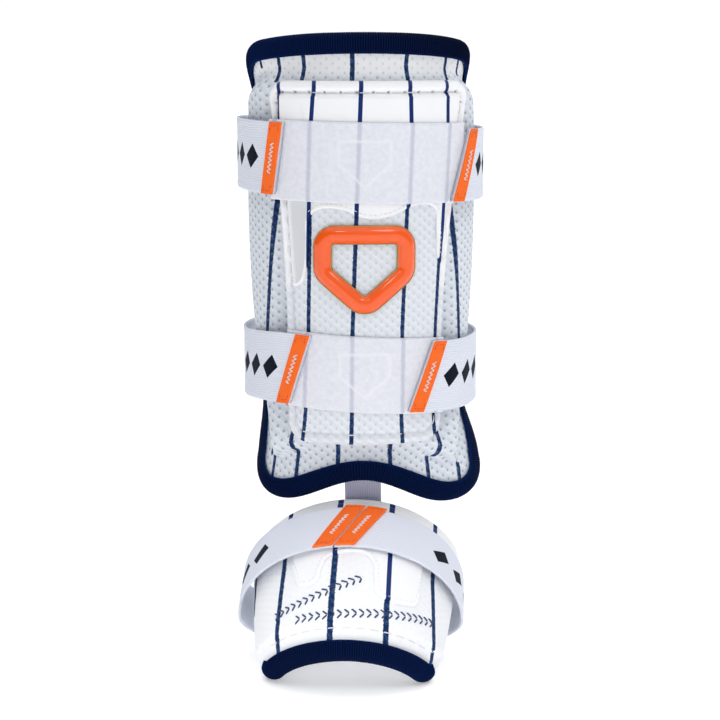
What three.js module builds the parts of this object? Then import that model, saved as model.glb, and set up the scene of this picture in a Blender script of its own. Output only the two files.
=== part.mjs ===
// Batter's leg guard: a padded shin pad with a raised plate, strapped round the calf, and a padded
// instep pad hung from it by an elastic link. Millimetres, +Z up, the front faces -Y.
// Every panel is drawn flat, across and up, and is then wrapped round the leg or over the instep.
import * as THREE from "three";

// Driving dimensions, in millimetres, with angles in degrees
const GAP = 0.4; // clearance between pieces that lie on one another
const SEAT_HEIGHT = 200; // of the shin seat above the floor
const LEG = { radius: 47.7, at: 181, taper: 0.012 }; // inside of the shin pad
const TOP_FLARE = { from: 292, to: 329, rise: 4.6 };
const BOTTOM_FLARE = { from: 134, to: 78, rise: 9 };
const BOTTOM_CORNER = { across: 32, fullAcross: 74, up: 147, fullUp: 90, rise: 9 }; // right bottom flare
const TOP_CORNER = { across: 35, fullAcross: 80, up: 272, fullUp: 318, rise: 3 }; // left top flare
const PAD = { reference: 53, flange: 6, bolster: 6.5 };
const PAD_TOP = { half: 88, corner: 28, up: 327.3, crown: 0.0011 };
const PAD_BOTTOM = { half: 68, corner: 20, up: 78.3, arch: 14.8, archHalf: 47, lean: -0.026 };
const TAPE = { width: 9, footWidth: 6.5, thickness: 1.3, clearance: 0.85, bend: 1, chamfer: 0.6 }; // edge binding
const TAPE_STEPS = { shin: 84, foot: 28 };
const PLATE = { reference: 68, thickness: 7, seat: 0.7 };
const PLATE_TOP = { half: 56.5, right: 65, corner: 10, up: 304.5 };
const PLATE_BOTTOM = { half: 46, right: 47.5, corner: 14, up: 112 };
const OVERLAY_TOP = { plate: 294, foot: 91 }; // upper edges of the leather
const UPPER_BAND = { left: 52.5, right: 57.5, low: 241.5, high: 283.5, tilt: -0.02 };
const LOWER_BAND = { left: 43.5, right: 46, low: 130, high: 171, tilt: -0.055 };
const LEATHER = 1; // thickness of the overlays
const BAND = 1.2; // thickness of the front bands
const BADGE = { halfWidth: 22, top: 19, shoulder: -1, point: -20, bar: 5, height: 3.6, centre: 206, corner: 4, steps: 48 };
const STRAP = { width: 38, thickness: 1.6 };
const TAB = { width: 8, thickness: 1, margin: 0.4 };
const STRAP_TURN = { from: 25, to: 80 }; // where a calf strap leaves the slope of its front for that of its sides
const LINK = { halfWidth: 10, thickness: 1.5, hang: 41.5, inShin: -3, inFoot: -2.55 };
const FOOT = { radius: 39, reference: 45, bend: 190, slope: 46, lift: -12.2, widen: 0.0015 };
const FOOT_TOP = { half: 60, corner: 10, up: 113, dip: 0.002 };
const FOOT_BOTTOM = { half: 57, corner: 9, up: 5 };
const FOOT_PLACE = { x: -9.8, y: -115, yaw: -5.2 }; // of the toe edge on the floor
const FOOT_PAD = { flange: 6, bolster: 5.5 };
const FOOT_STRAP = {
  width: 33.5, at: 78.5, shift: -1.3, half: 58.8, upper: 48, lower: 20, slant: 0.46, meet: 0.1, split: 0.4,
};
const FOOT_TAB = { width: 10.4, margin: 0.1 };

// Rise of a surface, as a share of its full height, by distance in from the edge
const BOLSTER_EDGE = [
  { inset: 15, rise: 0 },
  { inset: 18, rise: 0.3 },
  { inset: 23, rise: 0.82 },
  { inset: 29, rise: 1 },
];
const PLATE_EDGE = [
  { inset: 0, rise: 0.3 },
  { inset: 1.2, rise: 0.75 },
  { inset: 3.2, rise: 1 },
  { inset: 6, rise: 0.84 },
  { inset: 9, rise: 1 },
];
const FOOT_PLAIN_EDGE = [
  { inset: 0, rise: 0.5 },
  { inset: 2, rise: 0.85 },
  { inset: 7, rise: 1 },
];
const FOOT_TOE_EDGE = [
  { inset: 9.5, rise: 0 },
  { inset: 12, rise: 0.5 },
  { inset: 15, rise: 0.88 },
  { inset: 20, rise: 1 },
];

// Lower edges of the leather overlays, across and up
const PLATE_WAVE = [
  { across: -44, up: 204 },
  { across: -42, up: 199 },
  { across: -38, up: 197 },
  { across: -34, up: 199 },
  { across: -31.3, up: 206 },
  { across: -29.8, up: 222 },
  { across: -28.6, up: 234.5 },
  { across: -23.6, up: 238.2 },
  { across: -16, up: 238.7 },
  { across: -10, up: 237.6 },
  { across: -3.7, up: 234.7 },
  { across: 5, up: 233 },
  { across: 13.6, up: 234.6 },
  { across: 22.6, up: 238.5 },
  { across: 31, up: 240.6 },
  { across: 37.6, up: 239 },
  { across: 40.3, up: 226 },
  { across: 41.8, up: 211 },
  { across: 45, up: 208 },
  { across: 48.5, up: 211 },
];
const FOOT_WAVE = [
  { across: -27, up: 60 },
  { across: -24.9, up: 52 },
  { across: -23, up: 45 },
  { across: -19, up: 42.8 },
  { across: -14.2, up: 43.8 },
  { across: -12, up: 52 },
  { across: -9.6, up: 59.1 },
  { across: -3.5, up: 62 },
  { across: 6, up: 61.6 },
  { across: 9.4, up: 56 },
  { across: 10.6, up: 46 },
  { across: 12.4, up: 37 },
  { across: 18.6, up: 33.9 },
  { across: 25, up: 34.4 },
  { across: 30.7, up: 36.6 },
  { across: 32.8, up: 44 },
  { across: 33.8, up: 56 },
];

// Inside radius of each calf strap by the angle from the front
const UPPER_STRAP_ROUND = [
  { angle: 32, radius: 72.6 },
  { angle: 52, radius: 72.2 },
  { angle: 70, radius: 68.2 },
  { angle: 90, radius: 66 },
  { angle: 125, radius: 64 },
  { angle: 180, radius: 62 },
];
const LOWER_STRAP_ROUND = [
  { angle: 18, radius: 69.9 },
  { angle: 42, radius: 69.7 },
  { angle: 64, radius: 65.6 },
  { angle: 90, radius: 63.4 },
  { angle: 125, radius: 61 },
  { angle: 180, radius: 59 },
];
const STRAPS = {
  upper: { height: 262.3, tilt: -0.042, sideTilt: -0.042, drop: 0, left: -37, right: 44, slants: [0.36, 0.17] },
  lower: { height: 150.8, tilt: -0.06, sideTilt: -0.0215, drop: 2.5, left: -28.4, right: 25, slants: [0.38, 0.33] },
};

const radians = THREE.MathUtils.degToRad;
const { lerp, smoothstep } = THREE.MathUtils;

// Straight-line reading of a table
function read(rows, key, value) {
  const line = new THREE.LinearInterpolant(rows.map((row) => row[key]), rows.map((row) => row[value]), 1);
  return (x) => line.evaluate(x)[0];
}

// Smooth reading of a table
function readSmooth(rows, key, value) {
  const line = new THREE.CubicInterpolant(rows.map((row) => row[key]), rows.map((row) => row[value]), 1);
  return (x) => line.evaluate(x)[0];
}

// Inside radius of the shin pad: a slight taper with a flare at each end
function legRadius(up) {
  const top = TOP_FLARE.rise * smoothstep(up, TOP_FLARE.from, TOP_FLARE.to);
  const bottom = BOTTOM_FLARE.rise * smoothstep(-up, -BOTTOM_FLARE.from, -BOTTOM_FLARE.to);
  return LEG.radius + LEG.taper * (up - LEG.at) + top + bottom;
}

// Point round the leg axis, with the angle measured from the front
function polar(angle, radius, up) {
  return new THREE.Vector3(radius * Math.sin(angle), -radius * Math.cos(angle), up);
}

// Extra flare of two corners of the pad, each by across and by up
function cornerFlare(across, up) {
  const right = smoothstep(across, BOTTOM_CORNER.across, BOTTOM_CORNER.fullAcross);
  const left = smoothstep(-across, TOP_CORNER.across, TOP_CORNER.fullAcross);
  const low = smoothstep(-up, -BOTTOM_CORNER.up, -BOTTOM_CORNER.fullUp);
  const high = smoothstep(up, TOP_CORNER.up, TOP_CORNER.fullUp);
  return BOTTOM_CORNER.rise * right * low + TOP_CORNER.rise * left * high;
}

// Points drawn flat and wrapped round the leg, at a height above the inside of the pad
const onPad = (across, up, height) =>
  polar(across / PAD.reference, legRadius(up) + cornerFlare(across, up) + height, up);
const onPlate = (across, up, height) => polar(across / PLATE.reference, legRadius(up) + height, up);

// Directions over the instep at a distance up from the toe edge
function instep(up) {
  const slope = radians(FOOT.slope) - up / FOOT.bend;
  return {
    out: new THREE.Vector3(0, -Math.sin(slope), Math.cos(slope)),
    back: new THREE.Vector3(0, Math.cos(slope), Math.sin(slope)),
  };
}

// Point drawn flat and laid over the instep: a half tube that bends back and widens along its length
const toeOut = instep(0).out;
const bendCentre = toeOut.clone().multiplyScalar(-(FOOT.bend - FOOT.radius)).setX(0);
bendCentre.z += FOOT.lift;
function onFoot(across, up, height) {
  const angle = across / FOOT.reference;
  const radius = FOOT.radius + height;
  const rise = FOOT.bend - FOOT.radius + radius * Math.cos(angle);
  const wide = radius * Math.sin(angle) * (1 + FOOT.widen * up);
  return instep(up).out.multiplyScalar(rise).add(bendCentre).setX(wide);
}

// Solid from a divided box whose corners are moved by a function of across, up and face
function slab(columns, rows, place) {
  const geometry = new THREE.BoxGeometry(2, 2, 2, columns, rows, 1);
  const position = geometry.attributes.position;
  for (let i = 0; i < position.count; i += 1) {
    const point = place(position.getX(i), position.getY(i), position.getZ(i) > 0);
    position.setXYZ(i, point.x, point.y, point.z);
  }
  geometry.computeVertexNormals();
  return geometry;
}

// Flat point a distance outward from a place on a counter-clockwise path
function outwardFrom(path, before, at, after, out) {
  const along = path[after].clone().sub(path[before]).normalize();
  return new THREE.Vector2(path[at].x + out * along.y, path[at].y - out * along.x);
}

// Closed ring with a section of given outward distances and heights, run along a flat closed path
function ring(path, section, place) {
  const steps = path.length;
  const geometry = new THREE.TorusGeometry(2, 1, section.length, steps);
  const { position, uv } = geometry.attributes;
  for (let i = 0; i < position.count; i += 1) {
    const at = Math.round(uv.getX(i) * steps) % steps;
    const { out, height } = section[Math.round(uv.getY(i) * section.length) % section.length];
    const flat = outwardFrom(path, (at + steps - 1) % steps, at, (at + 1) % steps, out);
    const point = place(flat.x, flat.y, height);
    position.setXYZ(i, point.x, point.y, point.z);
  }
  geometry.computeVertexNormals();
  return geometry;
}

// Evenly spaced points of a flat curve through the given points, both ends included
function spaced(points, steps, closed) {
  const curve = new THREE.CatmullRomCurve3(points.map((p) => new THREE.Vector3(p.x, p.y, 0)), closed);
  return curve.getSpacedPoints(steps).map((p) => new THREE.Vector2(p.x, p.y));
}

// Flat panel between a top and a bottom edge with rounded corners. Its grid closes up towards the
// edges, so that the outer columns and rows follow the rounding.
function panel({ top, bottom, bulge, bulgeRight = bulge, columns, rows, cornerSteps }) {
  const split = (t, steps) => {
    const inner = 1 - (2 * cornerSteps) / steps;
    const beyond = Math.max(0, Math.abs(t) - inner) / (1 - inner);
    return { run: Math.sign(t) * Math.min(1, Math.abs(t) / inner), turn: (beyond * Math.PI) / 2 };
  };
  const edge = (side, a, sign) => {
    const { run, turn } = split(a, columns);
    const half = a > 0 ? side.right ?? side.half : side.half;
    const across = (half - side.corner) * run + Math.sign(a) * side.corner * Math.sin(turn);
    return { across, up: side.height(across) - sign * side.corner * (1 - Math.cos(turn)) };
  };
  const span = top.height(0) - bottom.height(0);
  const share = (b) => {
    const { run, turn } = split(b, rows);
    const low = (bottom.corner / span) * (run < 0 ? 1 - Math.sin(turn) : 1);
    const high = 1 - (top.corner / span) * (run > 0 ? 1 - Math.sin(turn) : 1);
    return lerp(low, high, (run + 1) / 2);
  };
  const at = (a, b) => {
    const upper = edge(top, a, 1);
    const lower = edge(bottom, a, -1);
    const v = share(b);
    const swell = ((a > 0 ? bulgeRight : bulge) * 4 * v * (1 - v) * upper.across) / top.half;
    return new THREE.Vector2(lerp(lower.across, upper.across, v) + swell, lerp(lower.up, upper.up, v));
  };
  const side = (steps, place) => Array.from({ length: steps }, (_, i) => place((2 * i) / steps - 1));
  const edges = {
    bottom: side(columns, (t) => at(t, -1)),
    right: side(rows, (t) => at(1, t)),
    top: side(columns, (t) => at(-t, 1)),
    left: side(rows, (t) => at(-1, -t)),
  };
  return { at, edges, outline: Object.values(edges).flat(), columns, rows };
}

// Distance from a flat point to the nearest part of a line through the given points
function insetFrom(points, point) {
  const nearest = new THREE.Vector3();
  const here = new THREE.Vector3(point.x, point.y, 0);
  const line = new THREE.Line3();
  const distances = points.slice(1).map((end, i) => {
    line.start.set(points[i].x, points[i].y, 0);
    line.end.set(end.x, end.y, 0);
    return line.closestPointToPoint(here, true, nearest).distanceTo(here);
  });
  return Math.min(...distances);
}
const closed = (points) => [...points, points[0]];

// Section of a tape folded over a square edge, as outward distances and heights, counter-clockwise
function foldedTape(width, flange) {
  const near = TAPE.clearance;
  const far = near + TAPE.thickness;
  const inner = [
    { out: -width, height: -near },
    { out: -TAPE.bend, height: -near },
    { out: near, height: -near },
    { out: near, height: flange + near },
    { out: -TAPE.bend, height: flange + near },
    { out: -width, height: flange + near },
  ];
  const outer = [
    { out: -width, height: -far },
    { out: 0, height: -far },
    { out: far, height: TAPE.chamfer },
    { out: far, height: flange - TAPE.chamfer },
    { out: 0, height: flange + far },
    { out: -width, height: flange + far },
  ];
  return { inner, outer };
}

// Leather sheet from a level upper edge down to a wavy lower edge
function overlay(wave, topUp, place) {
  const columns = wave.length - 1;
  return slab(columns, 5, (a, b, front) => {
    const { across, up } = wave[Math.round(((a + 1) / 2) * columns)];
    return place(across, lerp(up, topUp, (b + 1) / 2), front ? LEATHER : 0);
  });
}

const materials = {
  mesh: new THREE.MeshStandardMaterial({ color: "#e8ebee", roughness: 0.9 }),
  leather: new THREE.MeshStandardMaterial({ color: "#f2f2f4", roughness: 0.5 }),
  binding: new THREE.MeshStandardMaterial({ color: "#0c1c42", roughness: 0.8 }),
  badge: new THREE.MeshStandardMaterial({ color: "#ff6a2a", roughness: 0.2 }),
  band: new THREE.MeshStandardMaterial({ color: "#e6e6ee", roughness: 0.9 }),
  elastic: new THREE.MeshStandardMaterial({ color: "#d8dae8", roughness: 0.85 }),
  tab: new THREE.MeshStandardMaterial({ color: "#ff7330", roughness: 0.8 }),
  link: new THREE.MeshStandardMaterial({ color: "#a6a5bc", roughness: 0.85 }),
};

function piece(name, geometry, material) {
  const mesh = new THREE.Mesh(geometry, material);
  mesh.name = name;
  return mesh;
}

// Shin pad: a half tube with rounded corners, an arched bottom edge and a raised middle
const archShare = (across) => {
  return (1 + Math.cos(Math.min(1, Math.abs(across) / PAD_BOTTOM.archHalf) * Math.PI)) / 2;
};
const padBottom = (across) => PAD_BOTTOM.up + PAD_BOTTOM.lean * across + PAD_BOTTOM.arch * archShare(across);
const shinPanel = panel({
  top: { ...PAD_TOP, height: (across) => PAD_TOP.up - PAD_TOP.crown * across * across },
  bottom: { ...PAD_BOTTOM, height: padBottom },
  bulge: 12,
  columns: 30,
  rows: 22,
  cornerSteps: 5,
});
const bolsterRise = read(BOLSTER_EDGE, "inset", "rise");
const shinPad = slab(shinPanel.columns, shinPanel.rows, (a, b, front) => {
  const flat = shinPanel.at(a, b);
  const rise = bolsterRise(insetFrom(closed(shinPanel.outline), flat));
  return onPad(flat.x, flat.y, front ? PAD.flange + PAD.bolster * rise : 0);
});

const shinTape = foldedTape(TAPE.width, PAD.flange);
const shinBinding = ring(
  spaced(shinPanel.outline, TAPE_STEPS.shin, true).slice(1),
  [...shinTape.outer, ...shinTape.inner.toReversed()],
  onPad,
);

// Shin plate: a thick panel with a rolled, stitched edge, on the raised middle of the pad
const plateBase = PAD.flange + PAD.bolster + PLATE.seat;
const plateTop = plateBase + PLATE.thickness;
const platePanel = panel({
  top: { ...PLATE_TOP, height: () => PLATE_TOP.up },
  bottom: { ...PLATE_BOTTOM, height: () => PLATE_BOTTOM.up },
  bulge: -3.5,
  bulgeRight: -5,
  columns: 20,
  rows: 18,
  cornerSteps: 4,
});
const plateRise = read(PLATE_EDGE, "inset", "rise");
const shinPlate = slab(platePanel.columns, platePanel.rows, (a, b, front) => {
  const flat = platePanel.at(a, b);
  const rise = plateRise(insetFrom(closed(platePanel.outline), flat));
  return onPlate(flat.x, flat.y, front ? plateBase + PLATE.thickness * rise : plateBase);
});
const plateOverlay = overlay(PLATE_WAVE, OVERLAY_TOP.plate, (across, up, lift) => {
  return onPlate(across, up, plateTop + GAP + lift);
});

// Front bands: strips across the plate, under the strap ends
function frontBand({ left, right, low, high, tilt }, base) {
  return slab(14, 2, (a, b, front) => {
    const across = lerp(-left, right, (a + 1) / 2);
    return onPlate(across, lerp(low, high, (b + 1) / 2) + tilt * across, base + (front ? BAND : 0));
  });
}
const upperBandBase = plateTop + GAP + LEATHER + GAP;
const upperBand = frontBand(UPPER_BAND, upperBandBase);
const lowerBand = frontBand(LOWER_BAND, plateTop + GAP);

// Badge: a raised open five-sided bar frame with rounded corners
const badgeCorners = [
  [-BADGE.halfWidth, BADGE.top],
  [-BADGE.halfWidth, BADGE.shoulder],
  [0, BADGE.point],
  [BADGE.halfWidth, BADGE.shoulder],
  [BADGE.halfWidth, BADGE.top],
].map(([x, y]) => new THREE.Vector2(x, BADGE.centre + y));
const badgeShape = new THREE.Shape();
badgeCorners.forEach((corner, i) => {
  const before = badgeCorners[(i + 4) % 5].clone().sub(corner).setLength(BADGE.corner).add(corner);
  const after = badgeCorners[(i + 1) % 5].clone().sub(corner).setLength(BADGE.corner).add(corner);
  if (i === 0) {
    badgeShape.moveTo(before.x, before.y);
  } else {
    badgeShape.lineTo(before.x, before.y);
  }
  badgeShape.quadraticCurveTo(corner.x, corner.y, after.x, after.y);
});
badgeShape.closePath();
const badgeBase = plateTop + GAP;
const badge = ring(
  badgeShape.getSpacedPoints(BADGE.steps).slice(1),
  [
    { out: -BADGE.bar, height: badgeBase },
    { out: BADGE.bar, height: badgeBase },
    { out: BADGE.bar, height: badgeBase + BADGE.height * 0.45 },
    { out: BADGE.bar * 0.45, height: badgeBase + BADGE.height },
    { out: -BADGE.bar * 0.45, height: badgeBase + BADGE.height },
    { out: -BADGE.bar, height: badgeBase + BADGE.height * 0.45 },
  ],
  onPlate,
);

// Calf strap: a band from its right end on the plate, round behind the calf, to its left end.
// Each end is cut on a slant of its own, given right end first.
function strapPoint(strap, degrees, rise, lift) {
  const turn = degrees > 180 ? 360 - degrees : degrees;
  const radius = strap.round(turn) + lift;
  const point = polar(radians(degrees), radius, strap.height + rise);
  const side = smoothstep(turn, STRAP_TURN.from, STRAP_TURN.to);
  point.z += lerp(strap.tilt * point.x, strap.sideTilt * point.x - strap.drop, side);
  return point;
}
const slantDegrees = (strap, slant, rise) => THREE.MathUtils.radToDeg((slant * rise) / strap.round(45));
function calfStrap(strap) {
  return slab(40, 1, (a, b, front) => {
    const rise = (b * STRAP.width) / 2;
    const [start, end] = strap.slants.map((slant) => slantDegrees(strap, slant, rise));
    const degrees = lerp(strap.right + start, 360 + strap.left + end, (a + 1) / 2);
    return strapPoint(strap, degrees, rise, front ? STRAP.thickness : 0);
  });
}

// End tab of a calf strap, laid on its outer face
function calfTab(strap, end, slant, away) {
  const perDegree = radians(1) * strap.round(45);
  const near = TAB.margin / perDegree;
  const far = (TAB.margin + TAB.width) / perDegree;
  const start = Math.min(away * near, away * far);
  return slab(4, 1, (a, b, front) => {
    const rise = (b * STRAP.width) / 2;
    const degrees = end + slantDegrees(strap, slant, rise) + start + ((far - near) * (a + 1)) / 2;
    return strapPoint(strap, degrees, rise, STRAP.thickness + GAP + (front ? TAB.thickness : 0));
  });
}
const upper = { ...STRAPS.upper, round: readSmooth(UPPER_STRAP_ROUND, "angle", "radius") };
const lower = { ...STRAPS.lower, round: readSmooth(LOWER_STRAP_ROUND, "angle", "radius") };

// Foot pad: a half tube over the instep, thin along its toe where the tape runs
const footPanel = panel({
  top: { ...FOOT_TOP, height: (across) => FOOT_TOP.up + FOOT_TOP.dip * across * across },
  bottom: { ...FOOT_BOTTOM, height: () => FOOT_BOTTOM.up },
  bulge: 4,
  columns: 22,
  rows: 16,
  cornerSteps: 4,
});
const { bottom: toe, right, top, left } = footPanel.edges;
const footPlain = [...right, ...top, ...left, toe[0]];
const plainRise = read(FOOT_PLAIN_EDGE, "inset", "rise");
const toeRise = read(FOOT_TOE_EDGE, "inset", "rise");
function footThickness(flat) {
  const rise = Math.min(plainRise(insetFrom(footPlain, flat)), toeRise(flat.y - FOOT_BOTTOM.up));
  return FOOT_PAD.flange + FOOT_PAD.bolster * rise;
}
const footPad = slab(footPanel.columns, footPanel.rows, (a, b, front) => {
  const flat = footPanel.at(a, b);
  return onFoot(flat.x, flat.y, front ? footThickness(flat) : 0);
});
const footOverlay = overlay(FOOT_WAVE, OVERLAY_TOP.foot, (across, up, lift) => {
  return onFoot(across, up, footThickness(new THREE.Vector2(across, up)) + GAP + lift);
});

// Foot binding: a tape folded over the toe edge and most of the way round its corners
const footTapePath = spaced([...toe, right[0]], TAPE_STEPS.foot + 2, false);
const footTape = foldedTape(TAPE.footWidth, FOOT_PAD.flange);
const footBinding = slab(TAPE_STEPS.foot, footTape.outer.length - 1, (a, b, front) => {
  const at = Math.round(((a + 1) / 2) * TAPE_STEPS.foot);
  const { out, height } = (front ? footTape.outer : footTape.inner)[Math.round(((b + 1) / 2) * 5)];
  const flat = outwardFrom(footTapePath, at, at + 1, at + 2, out);
  return onFoot(flat.x, flat.y, height);
});

// Foot strap: an oval band over the instep and under the sole, both ends meeting near the crest.
// Points are given by the turn from the crest, the distance back along the foot, and the height.
const strapFrame = instep(FOOT_STRAP.at);
const strapCrest = onFoot(0, FOOT_STRAP.at, FOOT_PAD.flange + FOOT_PAD.bolster + LEATHER + 3 * GAP);
function footStrapPoint(turn, back, lift) {
  const depth = Math.cos(turn) > 0 ? FOOT_STRAP.upper : FOOT_STRAP.lower;
  const normal = new THREE.Vector2(Math.sin(turn) * depth, Math.cos(turn) * FOOT_STRAP.half).normalize();
  const rise = depth * Math.cos(turn) - FOOT_STRAP.upper + lift * normal.y;
  const point = strapCrest.clone().addScaledVector(strapFrame.out, rise);
  point.addScaledVector(strapFrame.back, back);
  return point.setX(FOOT_STRAP.shift + FOOT_STRAP.half * Math.sin(turn) + lift * normal.x);
}
const footStrap = slab(44, 1, (a, b, front) => {
  const back = (b * FOOT_STRAP.width) / 2;
  const cut = (FOOT_STRAP.slant * back + FOOT_STRAP.meet) / FOOT_STRAP.half;
  const split = FOOT_STRAP.split / FOOT_STRAP.half;
  const turn = lerp(cut + split, cut + 2 * Math.PI - split, (a + 1) / 2);
  return footStrapPoint(turn, back, front ? STRAP.thickness : 0);
});
function footTab(away) {
  return slab(4, 1, (a, b, front) => {
    const back = (b * FOOT_STRAP.width) / 2;
    const along = FOOT_STRAP.split + FOOT_TAB.margin + (FOOT_TAB.width * (1 + away * a)) / 2;
    const turn = (away * along + FOOT_STRAP.slant * back + FOOT_STRAP.meet) / FOOT_STRAP.half;
    return footStrapPoint(turn, back, STRAP.thickness + GAP + (front ? TAB.thickness : 0));
  });
}

const foot = new THREE.Group();
foot.name = "foot_guard";
foot.position.set(FOOT_PLACE.x, FOOT_PLACE.y, 0);
foot.rotation.z = radians(FOOT_PLACE.yaw);
foot.updateMatrix();
foot.add(
  piece("foot_pad", footPad, materials.mesh),
  piece("foot_overlay", footOverlay, materials.leather),
  piece("foot_binding", footBinding, materials.binding),
  piece("foot_strap", footStrap, materials.elastic),
  piece("foot_tab_left", footTab(-1), materials.tab),
  piece("foot_tab_right", footTab(1), materials.tab),
);

// Ankle link: a flat web from the inside of the shin pad to the inside of the foot pad
const linkPath = new THREE.CatmullRomCurve3([
  ...[134, 126].map((up) => onPad(0, up, LINK.inShin)),
  ...[112, 90, 68].map((up) => polar(0, LINK.hang, up)),
  ...[94, 87, 78].map((up) => onFoot(0, up, LINK.inFoot).applyMatrix4(foot.matrix)),
]);
const ankleLink = slab(20, 1, (a, b, front) => {
  const t = (1 - a) / 2;
  const yaw = radians(FOOT_PLACE.yaw) * smoothstep(t, 0.3, 0.7);
  const wide = new THREE.Vector3(Math.cos(yaw), Math.sin(yaw), 0);
  const outward = wide.clone().cross(linkPath.getTangentAt(t)).negate().normalize();
  const lift = front ? LINK.thickness / 2 : -LINK.thickness / 2;
  return linkPath.getPointAt(t).addScaledVector(wide, -b * LINK.halfWidth).addScaledVector(outward, lift);
});

const shin = new THREE.Group();
shin.name = "shin_guard";
shin.add(
  piece("shin_pad", shinPad, materials.mesh),
  piece("shin_binding", shinBinding, materials.binding),
  piece("shin_plate", shinPlate, materials.mesh),
  piece("plate_overlay", plateOverlay, materials.leather),
  piece("badge", badge, materials.badge),
  piece("upper_band", upperBand, materials.band),
  piece("lower_band", lowerBand, materials.band),
  piece("upper_strap", calfStrap(upper), materials.elastic),
  piece("upper_tab_left", calfTab(upper, upper.left, upper.slants[1], -1), materials.tab),
  piece("upper_tab_right", calfTab(upper, upper.right, upper.slants[0], 1), materials.tab),
  piece("lower_strap", calfStrap(lower), materials.elastic),
  piece("lower_tab_left", calfTab(lower, lower.left, lower.slants[1], -1), materials.tab),
  piece("lower_tab_right", calfTab(lower, lower.right, lower.slants[0], 1), materials.tab),
  piece("ankle_link", ankleLink, materials.link),
);

// The whole stands on the floor and is then moved, so that the shin seat is at the origin
const guard = new THREE.Group();
guard.name = "leg_guard";
const standing = new THREE.Group();
standing.name = "standing";
standing.position.set(0, legRadius(SEAT_HEIGHT), -SEAT_HEIGHT);
standing.add(shin, foot);
guard.add(standing);

export default guard;
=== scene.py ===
"""Batter's leg guard: fabric, leather, tape and thread dressed over its fixed frame.

Sizes are in millimetres until a mesh is made. Each panel is drawn flat, as across, up and height,
and is then wrapped round the leg or laid over the instep. The front faces -Y.
"""
import math

import bpy
import numpy as np
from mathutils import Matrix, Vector


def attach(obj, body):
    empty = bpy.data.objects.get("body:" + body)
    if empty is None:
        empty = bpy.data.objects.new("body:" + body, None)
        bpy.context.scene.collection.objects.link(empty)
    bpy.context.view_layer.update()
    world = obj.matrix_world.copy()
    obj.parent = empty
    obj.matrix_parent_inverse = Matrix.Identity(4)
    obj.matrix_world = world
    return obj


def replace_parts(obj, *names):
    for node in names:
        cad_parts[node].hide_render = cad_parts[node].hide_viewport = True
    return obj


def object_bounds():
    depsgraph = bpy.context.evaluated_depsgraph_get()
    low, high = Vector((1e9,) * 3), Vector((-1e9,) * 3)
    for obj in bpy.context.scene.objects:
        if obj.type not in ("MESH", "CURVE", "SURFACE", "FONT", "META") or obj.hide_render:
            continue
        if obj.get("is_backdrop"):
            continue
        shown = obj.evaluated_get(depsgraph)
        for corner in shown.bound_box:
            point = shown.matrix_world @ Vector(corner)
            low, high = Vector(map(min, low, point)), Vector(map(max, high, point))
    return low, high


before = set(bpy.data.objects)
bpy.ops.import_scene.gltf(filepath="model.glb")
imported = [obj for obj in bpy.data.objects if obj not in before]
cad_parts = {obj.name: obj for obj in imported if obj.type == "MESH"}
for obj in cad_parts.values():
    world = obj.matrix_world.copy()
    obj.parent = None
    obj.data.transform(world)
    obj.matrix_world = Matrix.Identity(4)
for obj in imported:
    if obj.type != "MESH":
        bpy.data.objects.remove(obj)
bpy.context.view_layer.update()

# Dimensions
MM = 0.001
GAP = 0.4
SEAT_HEIGHT = 200
LEG = dict(radius=47.7, at=181, taper=0.012)
TOP_FLARE = dict(low=292, high=329, rise=4.6)
BOTTOM_FLARE = dict(low=78, high=134, rise=9)
BOTTOM_CORNER = dict(across=(32, 74), up=(90, 147), rise=9)
TOP_CORNER = dict(across=(35, 80), up=(272, 318), rise=3)
PAD = dict(reference=53, flange=6, bolster=6.5)
PAD_TOP = dict(half=88, corner=28, up=327.3, crown=0.0011)
PAD_BOTTOM = dict(half=68, corner=20, up=78.3, arch=14.8, arch_half=47, lean=-0.026)
TAPE = dict(width=9, foot_width=6.5, thickness=1.3, clearance=0.85, rib_pitch=1.15, rib=0.2)
TAPE |= dict(unfolded=29, foot_unfolded=23)
PLATE = dict(reference=68, thickness=7, seat=0.7, rim=4.4, stitch=6, stitch_pitch=8.3)
PLATE_TOP = dict(half=56.5, right=65, corner=10, up=304.5)
PLATE_BOTTOM = dict(half=46, right=47.5, corner=14, up=112)
PLATE_BULGE = (-3.5, -5)
UPPER_BAND = dict(left=52.5, right=57.5, low=241.5, high=283.5, tilt=-0.02)
LOWER_BAND = dict(left=43.5, right=46, low=130, high=171, tilt=-0.055)
LEATHER = 1
FOOT_LEATHER_TOP = 93
BAND = 1.2
BADGE = dict(half_width=22, top=19, shoulder=-1, point=-20, bar=5, height=3.6, centre=206, corner=7)
STRAP = dict(width=38, thickness=1.6)
TAB = dict(width=8, thickness=1, margin=0.4)
LINK = dict(width=20, thickness=1.5, hang=41.5, in_shin=-3, in_foot=-2.55)
LINK_UPS = dict(shin=(134.0, 126.0), hang=(112.0, 90.0, 68.0), foot=(94.0, 87.0, 78.0))
LINK_STATIONS = 81
FOOT = dict(radius=39, reference=45, bend=190, slope=46, lift=-12.2, widen=0.0015)
FOOT_TOP = dict(half=60, corner=10, up=113, dip=0.002)
FOOT_BOTTOM = dict(half=57, corner=9, up=5)
FOOT_PLACE = dict(x=-9.8, y=-115, yaw=-5.2)
FOOT_PAD = dict(flange=6, bolster=5.5, tape_up_to=11, seam=17.7)
FOOT_STRAP = dict(width=33.5, at=78.5, shift=-1.3, half=58.8, upper=48, lower=20)
FOOT_STRAP |= dict(slant=0.46, meet=0.1, split=0.4)
FOOT_TAB = dict(width=10.4, thickness=1, margin=0.1)

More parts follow.
